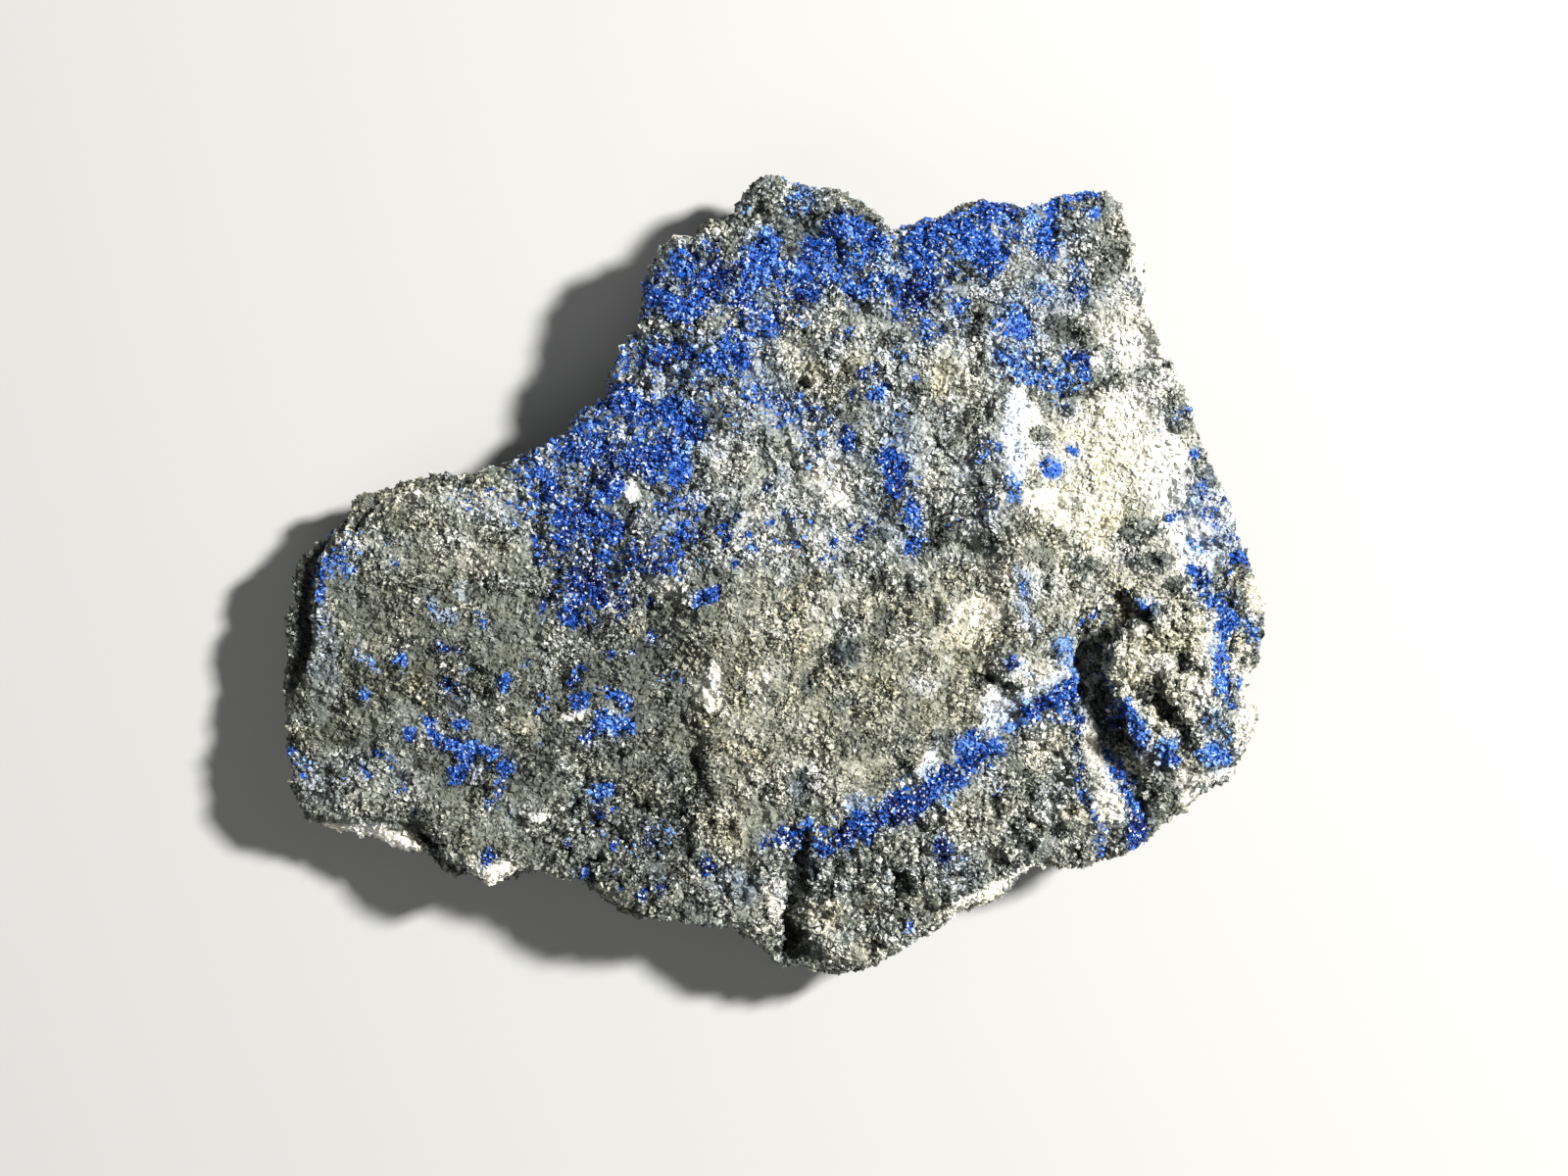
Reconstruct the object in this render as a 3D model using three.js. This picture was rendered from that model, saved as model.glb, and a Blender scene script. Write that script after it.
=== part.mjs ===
// A hand specimen of callaghanite: a slab of sugary brucite and calcite marble, broken on every side,
// with blue callaghanite along its veins. It lies on its back, with its best face up.
// Millimetres, +Z up. X runs along the longest side, and Y across the slab.
// The origin is under the middle of the specimen's box, on the surface that it lies on.

import * as THREE from "three";
import { ImprovedNoise } from "three/addons/math/ImprovedNoise.js";
import { mergeVertices } from "three/addons/utils/BufferGeometryUtils.js";

const { smoothstep, clamp, lerp } = THREE.MathUtils;

// The slab's face is a plane that rises to the east, which is +X. North is +Y.
const FACE_HEIGHT = 9;
const FACE_RISE_EAST = 0.05;
const MIDDLE = new THREE.Vector2(0.95, -1.1);

// The outline seen from above, anticlockwise from the east point, as straight breaks.
const OUTLINE = [
  [35.3, -4.7], [34.8, -3.2], [35.05, -2.2], [34.6, 0], [33.6, 1.1], [33.4, 3.6], [32.6, 5.4],
  [31.8, 6.4], [31, 7.8], [30.5, 10.5], [29.7, 12.9], [28.7, 14.9], [28.1, 15.9], [27.8, 17.5],
  [26.9, 19.9], [26.6, 22.4], [25.8, 23.4], [25.3, 25.2], [24.4, 26.5], [23.3, 27.1], [21.6, 27],
  [19.2, 26.2], [17.5, 25.9], [16.3, 26.3], [13.4, 26], [11.8, 25.2], [9.5, 24.4], [8.1, 24.8],
  [7.2, 25.9], [5.6, 26.8], [4.1, 27.35], [3.1, 27.7], [2.1, 27.4], [1.3, 28.15], [0, 28.7],
  [-0.9, 28.6], [-1.6, 27.4], [-2.3, 26.1], [-2.5, 25.2], [-4.5, 25.05], [-5.2, 24.1], [-7.3, 23.6],
  [-8.3, 22.6], [-8.6, 20.8], [-9.3, 19], [-9.3, 17.5], [-10.8, 16.2], [-11.3, 14.7], [-11.9, 13.8],
  [-11.4, 12.8], [-13.4, 11.6], [-15, 9.7], [-17.2, 8.6], [-18.7, 7.5], [-21, 6.9], [-22.3, 7],
  [-25.5, 6.4], [-27.2, 6.05], [-28.4, 6.1], [-30, 5], [-31.6, 3.6], [-33.2, 2.2], [-34.2, 0.4],
  [-34.6, -2], [-34.6, -4], [-35, -6], [-35.2, -8], [-35, -10.8], [-34.8, -12.4], [-34, -15],
  [-34.2, -17], [-33.4, -18.4], [-30.5, -19], [-28.4, -19], [-27.2, -19.5], [-26, -20.4],
  [-24.3, -20.4], [-23.3, -21.3], [-21.5, -22], [-20.1, -22.9], [-18.3, -21.3], [-16.9, -21.1],
  [-15.8, -21.9], [-13.5, -22], [-11.6, -23.2], [-10.3, -24.2], [-9, -24.5], [-8, -25.1],
  [-6.6, -24.9], [-4.9, -25.5], [-3, -25.3], [-1.5, -26.1], [-0.2, -27.2], [0.8, -28.4],
  [3.4, -28.7], [6.4, -28.75], [7.6, -27.9], [8.4, -27], [10.4, -26.6], [12.1, -25.5],
  [13.7, -24.4], [15.4, -23.45], [16.9, -22.9], [17.6, -21.7], [19.2, -20.9], [20.4, -20.8],
  [21.6, -21.7], [22.6, -21.4], [23.6, -20.5], [25.8, -20], [27.3, -18.7], [28.2, -17.5],
  [29.9, -16.9], [30.9, -15.5], [32.6, -14.65], [33.6, -13.2], [34.6, -11.2], [34.7, -9.9],
  [34.1, -7.7],
];

// Where the face bends down: the ground falls away on the right of each path, walked in order.
const FOLDS = [
  {
    name: "coarse band below the main vein",
    path: [[-9, -27], [-1.5, -20], [5.8, -18.3], [10, -16.8], [16, -11.3], [22.3, -8.4],
      [24.5, -13.5], [29.5, -14], [35, -14]],
    slope: 0.34,
    most: 2.8,
  },
  {
    name: "white patch east of the crest",
    path: [[18.4, -3], [17.2, 5.9], [16.9, 12.5], [22.5, 12.6], [29, 14.5]],
    slope: 0.13,
    most: 1.7,
  },
  { name: "peak of the north edge", path: [[9, 24.4], [-3, 22.6]], slope: 0.3, most: 1.6 },
  { name: "north-west edge", path: [[-6, 22], [-9, 12], [-19, 5]], slope: 0.16, most: 0.9 },
  { name: "west edge", path: [[-28, 4], [-30.5, -4], [-30, -17]], slope: 0.2, most: 1 },
];

// Where the face steps down on the right of each path, and comes back over the reach.
const LEDGES = [
  {
    name: "west step of the beige plateau",
    path: [[-10.3, 1.7], [-6.1, -3.9], [-5, -8.1], [-5.2, -14.4], [-6.1, -19.3]],
    drop: 0.9,
    reach: 16,
  },
  {
    name: "white shelf at the south-west corner",
    path: [[-34.5, -17.4], [-31.5, -18], [-27.5, -18.2], [-25.4, -18.2], [-24.2, -19.8]],
    drop: 1.5,
    reach: 40,
  },
  {
    name: "shelf at the north-west corner",
    path: [[-25.6, 5.9], [-28.2, 5], [-29.6, 3.9], [-31.2, 2.6]],
    drop: 1.5,
    reach: 40,
  },
  {
    name: "bevel of the north-east edge",
    path: [[25.4, 23], [26.4, 20], [27.6, 15.8]],
    drop: 0.8,
    reach: 40,
  },
  {
    name: "scarp above the south edge",
    path: [[-2.6, -24.3], [-4.2, -23.8], [-6.4, -22.9]],
    drop: 0.7,
    reach: 6,
  },
];

// Long hollows and crests along a path. A negative height cuts in.
const RIDGES = [
  {
    name: "crest beside the white patch",
    path: [[16.7, 12.5], [17, 5.9], [18.1, -2.5], [17.2, -8]],
    height: 0.8,
    width: 1.9,
  },
  {
    name: "groove round the rough lump",
    path: [[25.2, -2.4], [23.2, -4], [22.4, -5.6], [22.6, -7.2], [23.6, -9.5], [24.3, -11.5],
      [24.5, -13.3]],
    height: -1.3,
    width: 0.9,
  },
  {
    name: "gully down to the south edge",
    path: [[2, -19.4], [1.7, -21.7], [1.2, -23.6], [1.4, -26]],
    height: -1.1,
    width: 0.9,
  },
  {
    name: "crack at the north-east",
    path: [[22.3, 12.3], [24.4, 13.9], [27.2, 14.6]],
    height: -0.8,
    width: 0.7,
  },
  { name: "fissure in the south-east", path: [[25.4, -14.2], [25.9, -16.6]], height: -0.9, width: 0.8 },
  { name: "gap beside the tooth", path: [[-25.6, -18.3], [-24.4, -19.9]], height: -1, width: 0.8 },
  { name: "hollow of the plateau", path: [[5.5, -3], [4, -5.5], [2, -8]], height: -0.6, width: 0.9 },
  {
    name: "hollow west of the crest",
    path: [[12.6, 9], [13.6, 4], [14, -0.5]],
    height: -0.6,
    width: 2,
  },
];

// Lumps and pits: an ellipse raised or cut in. The rim is 0 for a dome and near 1 for a flat top.
const LUMPS = [
  { name: "rough lump", at: [27.6, -7.7], size: [5, 6.7], height: 1.9, rim: 0.74 },
  { name: "east pit of the lump", at: [29.3, -6.2], size: [0.8, 1.5], height: -1, rim: 0.3 },
  { name: "south pit of the lump", at: [28, -9.8], size: [1.1, 1.6], height: -1.3, rim: 0.3 },
  { name: "corner pit of the lump", at: [29.6, -11.5], size: [0.9, 1.4], height: -0.9, rim: 0.3 },
  { name: "pit in the south edge", at: [1.8, -27.1], size: [1.6, 1.5], height: -2, rim: 0.3 },
  { name: "pit below the main vein", at: [9.3, -22.3], size: [1, 1.2], height: -0.8, rim: 0.2 },
  { name: "south nose", at: [5, -26.4], size: [2.6, 2], height: 0.6, rim: 0.2 },
  { name: "north-west hummock", at: [-4, 18], size: [4.2, 2.8], height: 0.7, rim: 0.1 },
  { name: "west knob of the peak", at: [0.2, 26.6], size: [1.9, 1.8], height: 0.7, rim: 0.3 },
  { name: "east knob of the peak", at: [5, 25], size: [2.2, 1.7], height: 0.6, rim: 0.3 },
  { name: "grey block at the north-east", at: [27.4, 13.2], size: [1.9, 1.3], height: 0.6, rim: 0.5 },
  { name: "white grain cluster", at: [-9.6, 5.5], size: [1.5, 1.2], height: 0.5, rim: 0.2 },
  { name: "east rim, north knob", at: [33.4, -1.6], size: [1.7, 2.3], height: 0.7, rim: 0.3 },
  { name: "east rim, south knob", at: [33.2, -10.3], size: [1.7, 3], height: 0.6, rim: 0.3 },
  { name: "south-west tooth", at: [-20.8, -21.2], size: [2, 1.4], height: 0.5, rim: 0.3 },
  { name: "hump of the west lobe", at: [-27, -8], size: [6, 7], height: 0.5, rim: 0 },
  { name: "dip of the west lobe", at: [-16.5, -9], size: [5, 9], height: -0.5, rim: 0 },
  { name: "hump of the plateau", at: [4, -11], size: [6, 5], height: 0.5, rim: 0 },
  { name: "swell of the north field", at: [8, 11], size: [7, 7], height: 0.6, rim: 0 },
];

// Where the face stops short of the outline and the side slopes out below it.
const SLOPING_SIDES = [
  { name: "west side", at: [-34.8, -4], reach: 7, width: 2.1 },
  { name: "north-west notch", at: [-13, 12], reach: 2.5, width: 1.2 },
  { name: "south gully side", at: [-1.3, -26.3], reach: 2.2, width: 1.3 },
  { name: "south-west dark side", at: [-22.6, -21.6], reach: 1.8, width: 1.1 },
];

const SIDE_WIDTH = 0.4; // how far the face's rim stays inside the outline elsewhere
const WIDEST = 0.3; // how far down the side the outline is widest, as a share
const UNDERCUT = 2.6; // how far the sides draw in below that
const UNDERCUT_SWING = 1.4; // how much that varies round the slab
const UNDERCUT_CURVE = 1.6;
const SIDE_CRAGS = { depth: 0.75, length: 5, slice: 0 };

const UNDERSIDE_RISE = 2.2; // how far the broken underside lifts at its edge
const UNDERSIDE_CRAGS = { depth: 1.5, length: 12, slice: 21.3 };
const UNDERSIDE_CUT = 0.7; // its highest places are worn down to one plane, and it rests on those

const FACE_CRAGS = { depth: 0.45, length: 9, slice: 3.7 };
const FACE_KNOBS = { depth: 0.26, length: 2.9, slice: 8.1 };
const FOLD_SOFTNESS = 1; // how far a fold takes to start falling
const LEDGE_WIDTH = 1.1; // how far a ledge takes to drop
const END_FADE = 3; // how far a ledge or a fold runs on past the ends of its path

// The broken surface is two sizes of sharp crests, the fine ones between the broad ones.
const CREST_SHARPNESS = 2.6;
const FINE_CRAGS = 2.3; // how many times finer
const FINE_SHARE = 0.32;

// How the surface is shared out between the face, the sides and the underside.
const SUBDIVISIONS = 21;
const FACE_SHARE = 0.47;
const SIDE_SHARE = 0.27;
const UNDERSIDE_SHARE = 1 - FACE_SHARE - SIDE_SHARE;
const EVENING_ROUNDS = 5;

const SAME_PLACE = 1e-6;
const MARBLE_GREY = 0xb1ab99;

const noise = new ImprovedNoise();

/** Sharp crests and broad hollows, from about -1 to 1, of the given length. */
function crags(x, y, z, length) {
  const broad = 1 - CREST_SHARPNESS * Math.abs(noise.noise(x / length, y / length, z / length));
  const small = length / FINE_CRAGS;
  const fine = 1 - CREST_SHARPNESS * Math.abs(noise.noise(y / small, x / small, z / small));
  return lerp(broad, fine, FINE_SHARE);
}

/** The nearest place on a path: how far it is, on which side, and how far past the path's ends. */
function nearest(x, y, path) {
  let best = { distance: Infinity, across: 0 };
  for (let i = 0; i + 1 < path.length; i += 1) {
    const [ax, ay] = path[i];
    const [bx, by] = path[i + 1];
    const length = Math.hypot(bx - ax, by - ay);
    const [ux, uy] = [(bx - ax) / length, (by - ay) / length];
    const along = (x - ax) * ux + (y - ay) * uy;
    const across = (x - ax) * uy - (y - ay) * ux;
    const held = clamp(along, 0, length);
    const distance = Math.hypot(x - ax - ux * held, y - ay - uy * held);
    // At a corner two stretches are equally near, and the one seen more squarely tells the side.
    const same = Math.abs(distance - best.distance) < SAME_PLACE;
    const nearer = same ? Math.abs(across) > Math.abs(best.across) : distance < best.distance;
    if (!nearer) continue;
    const before = i === 0 ? Math.max(0, -along) : 0;
    const after = i + 2 === path.length ? Math.max(0, along - length) : 0;
    best = { distance, across, right: Math.sign(across) * distance, beyond: before + after };
  }
  return best;
}

function foldFall(x, y, { path, slope, most }) {
  const { right, beyond } = nearest(x, y, path);
  const started = right - FOLD_SOFTNESS * smoothstep(right, 0, 2 * FOLD_SOFTNESS);
  const fall = slope * Math.max(0, started);
  return most * Math.tanh(fall / most) * (1 - smoothstep(beyond, 0, END_FADE));
}

function ledgeFall(x, y, { path, drop, reach }) {
  const { right, beyond } = nearest(x, y, path);
  const low = smoothstep(right, -LEDGE_WIDTH / 2, LEDGE_WIDTH / 2);
  const back = Math.exp(-Math.max(0, right) / reach);
  return drop * low * back * (1 - smoothstep(beyond, 0, END_FADE));
}

function ridgeRise(x, y, { path, height, width }) {
  const { distance } = nearest(x, y, path);
  return height * Math.exp(-((distance / width) ** 2));
}

function lumpRise(x, y, { at, size, height, rim }) {
  const out = Math.hypot((x - at[0]) / size[0], (y - at[1]) / size[1]);
  return height * (1 - smoothstep(out, rim, 1));
}

const total = (features, value) => features.reduce((sum, feature) => sum + value(feature), 0);

const cragRise = (x, y, { depth, length, slice }) => depth * crags(x, y, slice, length);

/** Height of the face above the surface that the specimen lies on. */
function faceHeight(x, y) {
  return (
    FACE_HEIGHT +
    FACE_RISE_EAST * x -
    total(FOLDS, (fold) => foldFall(x, y, fold)) -
    total(LEDGES, (ledge) => ledgeFall(x, y, ledge)) +
    total(RIDGES, (ridge) => ridgeRise(x, y, ridge)) +
    total(LUMPS, (lump) => lumpRise(x, y, lump)) +
    cragRise(x, y, FACE_CRAGS) +
    cragRise(x, y, FACE_KNOBS)
  );
}

/** Distance from the middle to the outline, in the direction of an angle. */
function outlineRadius(angle) {
  const direction = new THREE.Vector2(Math.cos(angle), Math.sin(angle));
  let radius = 0;
  OUTLINE.forEach((corner, i) => {
    const a = new THREE.Vector2(...corner).sub(MIDDLE);
    const b = new THREE.Vector2(...OUTLINE[(i + 1) % OUTLINE.length]).sub(MIDDLE);
    const from = direction.cross(a);
    const to = direction.cross(b);
    if (from > 0 || to <= 0) return;
    const crossing = a.lerp(b, from / (from - to));
    radius = Math.max(radius, crossing.dot(direction));
  });
  return radius;
}

function sideWidth(x, y) {
  const wide = SLOPING_SIDES.map(({ at, reach, width }) => {
    return width * Math.exp(-(((x - at[0]) ** 2 + (y - at[1]) ** 2) / reach ** 2));
  });
  return Math.max(SIDE_WIDTH, ...wide);
}

/** How far the outline, the face's rim and the underside's edge lie from the middle. */
function reaches(angle) {
  const [cos, sin] = [Math.cos(angle), Math.sin(angle)];
  const outline = outlineRadius(angle);
  const rim = outline - sideWidth(MIDDLE.x + outline * cos, MIDDLE.y + outline * sin);
  const swing = noise.noise(3 * cos, 3 * sin, UNDERSIDE_CRAGS.slice);
  return { outline, rim, base: outline - UNDERCUT - UNDERCUT_SWING * swing };
}

const atRadius = (angle, radius) => [
  MIDDLE.x + radius * Math.cos(angle),
  MIDDLE.y + radius * Math.sin(angle),
];

/** Height of the underside: broken and hollow, with its highest places worn to one plane. */
function undersideHeight(x, y) {
  const [east, north] = [x - MIDDLE.x, y - MIDDLE.y];
  const out = Math.hypot(east, north) / reaches(Math.atan2(north, east)).base;
  const lift = UNDERSIDE_RISE * smoothstep(out, 0.5, 1) ** 2;
  const broken = (UNDERSIDE_CRAGS.depth - cragRise(x, y, UNDERSIDE_CRAGS)) / 2;
  return Math.max(0, lift + broken - UNDERSIDE_CUT);
}

/** A place on the broken side, at a share of the way down from the face's rim to the underside. */
function sidePlace(angle, down) {
  const { outline, rim, base } = reaches(angle);
  const top = faceHeight(...atRadius(angle, rim));
  const foot = undersideHeight(...atRadius(angle, base));
  const z = lerp(top, foot, down);
  const bulge = down < WIDEST
    ? lerp(rim, outline, Math.sin((Math.PI / 2) * (down / WIDEST)))
    : lerp(outline, base, ((down - WIDEST) / (1 - WIDEST)) ** UNDERCUT_CURVE);
  // The breaks only cut in, so the outline stays the widest line of the specimen.
  const [x, y] = atRadius(angle, outline);
  const cut = SIDE_CRAGS.depth * Math.sin(Math.PI * down) * (crags(x, y, z, SIDE_CRAGS.length) - 1);
  return [...atRadius(angle, bulge + cut / 2), z];
}

/** Lays a point of the unit sphere on the face, the side or the underside. Returns its surface. */
function layOut(point) {
  const angle = Math.atan2(point.y, point.x);
  const share = (1 - point.z) / 2;
  const { rim, base } = reaches(angle);
  if (share < FACE_SHARE) {
    point.set(...atRadius(angle, rim * Math.sqrt(share / FACE_SHARE)), 0);
    return "face";
  }
  if (1 - share < UNDERSIDE_SHARE) {
    point.set(...atRadius(angle, base * Math.sqrt((1 - share) / UNDERSIDE_SHARE)), 0);
    return "underside";
  }
  point.set(...sidePlace(angle, (share - FACE_SHARE) / SIDE_SHARE));
  return "side";
}

/** The neighbours of each vertex of an indexed geometry. */
function neighboursOf({ index, attributes }) {
  const neighbours = Array.from({ length: attributes.position.count }, () => new Set());
  for (let i = 0; i < index.count; i += 3) {
    const corners = [index.getX(i), index.getX(i + 1), index.getX(i + 2)];
    corners.forEach((corner) => corners.forEach((other) => neighbours[corner].add(other)));
  }
  neighbours.forEach((others, i) => others.delete(i));
  return neighbours.map((others) => [...others]);
}

/** Draws each point that lies wholly within one surface to the middle of its neighbours. */
function evenOut(points, surfaces, neighbours) {
  const inside = (i) => neighbours[i].every((other) => surfaces[other] === surfaces[i]);
  const free = [...points.keys()].filter((i) => surfaces[i] !== "side" && inside(i));
  for (let round = 0; round < EVENING_ROUNDS; round += 1) {
    for (const i of free) {
      points[i].set(0, 0, 0);
      neighbours[i].forEach((other) => points[i].add(points[other]));
      points[i].divideScalar(neighbours[i].length);
    }
  }
}

/** The whole specimen as one closed surface, centred over the origin and standing on it. */
function specimenGeometry() {
  const sphere = new THREE.IcosahedronGeometry(1, SUBDIVISIONS);
  sphere.deleteAttribute("normal");
  sphere.deleteAttribute("uv");
  const geometry = mergeVertices(sphere, 1e-3);
  const places = geometry.attributes.position;
  const points = Array.from({ length: places.count }, (_, i) => {
    return new THREE.Vector3().fromBufferAttribute(places, i);
  });
  const surfaces = points.map(layOut);
  evenOut(points, surfaces, neighboursOf(geometry));
  points.forEach((point, i) => {
    if (surfaces[i] === "face") point.z = faceHeight(point.x, point.y);
    if (surfaces[i] === "underside") point.z = undersideHeight(point.x, point.y);
    places.setXYZ(i, point.x, point.y, point.z);
  });
  geometry.computeBoundingBox();
  const { min, max } = geometry.boundingBox;
  geometry.translate(-(min.x + max.x) / 2, -(min.y + max.y) / 2, -min.z);
  geometry.computeVertexNormals();
  return geometry;
}

const specimen = new THREE.Mesh(
  specimenGeometry(),
  new THREE.MeshStandardMaterial({ color: MARBLE_GREY, roughness: 0.75, metalness: 0, flatShading: true }),
);
specimen.name = "callaghanite_specimen";

const part = new THREE.Group();
part.add(specimen);

export default part;
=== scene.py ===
"""The looks of a callaghanite hand specimen: sugary brucite and calcite marble with granular blue crystals.

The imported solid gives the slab's form. A finer copy of it carries the broken surface, and joined meshes
of small crystals cover it. Every place below is in millimetres in the part's own frame, seen from above.
"""

import bmesh
import bpy
import numpy as np
from mathutils import Matrix, Vector, noise


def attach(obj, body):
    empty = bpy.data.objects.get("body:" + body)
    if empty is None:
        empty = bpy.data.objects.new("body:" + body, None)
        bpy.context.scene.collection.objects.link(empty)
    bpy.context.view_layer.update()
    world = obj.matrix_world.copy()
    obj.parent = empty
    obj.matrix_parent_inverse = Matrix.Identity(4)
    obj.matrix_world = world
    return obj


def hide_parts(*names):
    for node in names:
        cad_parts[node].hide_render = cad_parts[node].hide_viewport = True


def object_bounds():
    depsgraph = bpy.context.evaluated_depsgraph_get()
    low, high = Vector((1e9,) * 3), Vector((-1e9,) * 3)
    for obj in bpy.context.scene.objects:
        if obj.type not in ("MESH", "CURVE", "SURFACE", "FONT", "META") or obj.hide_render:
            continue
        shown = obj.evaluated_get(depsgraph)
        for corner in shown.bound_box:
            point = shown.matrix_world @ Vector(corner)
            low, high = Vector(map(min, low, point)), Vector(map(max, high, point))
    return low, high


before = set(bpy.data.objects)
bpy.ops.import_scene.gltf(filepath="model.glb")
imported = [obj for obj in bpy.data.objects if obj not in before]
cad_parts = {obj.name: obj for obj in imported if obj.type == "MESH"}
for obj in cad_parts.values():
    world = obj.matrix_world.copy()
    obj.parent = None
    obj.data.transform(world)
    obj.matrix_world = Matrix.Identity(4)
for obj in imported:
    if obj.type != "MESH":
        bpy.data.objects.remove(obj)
CAD_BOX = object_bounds()

bl_info = {
    "name": "Callaghanite specimen",
    "version": (1, 0, 0),
    "blender": (4, 5, 0),
    "location": "View3D > Sidebar > Specimen",
    "description": "Builds the marble body, its crystals and the stage of a callaghanite specimen",
    "category": "Object",
}

NODE = "callaghanite_specimen"
MM = 0.001
SEED = 20817

# The camera looks straight down at the middle of the frame, 112 mm wide at the face's height. Its place,
# and the half width of the floor, are in metres.
LENS_MM = 100
CAMERA_PLACE = (0.95 * MM, -1.1 * MM, 0.32)
CAMERA_REACH = 10
FLOOR_HALF = 1.5
SKY_COLOUR = "#E8ECF2"
SKY_STRENGTH = 0.12
# Name, place in metres, size in metres, watts. The key stands in the north-east, as the shadows show.
LIGHTS = (
    ("key", (0.42, 0.17, 0.45), 0.07, 8.2),
    ("fill", (-0.3, -0.5, 0.7), 0.7, 1.2),
)

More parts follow.
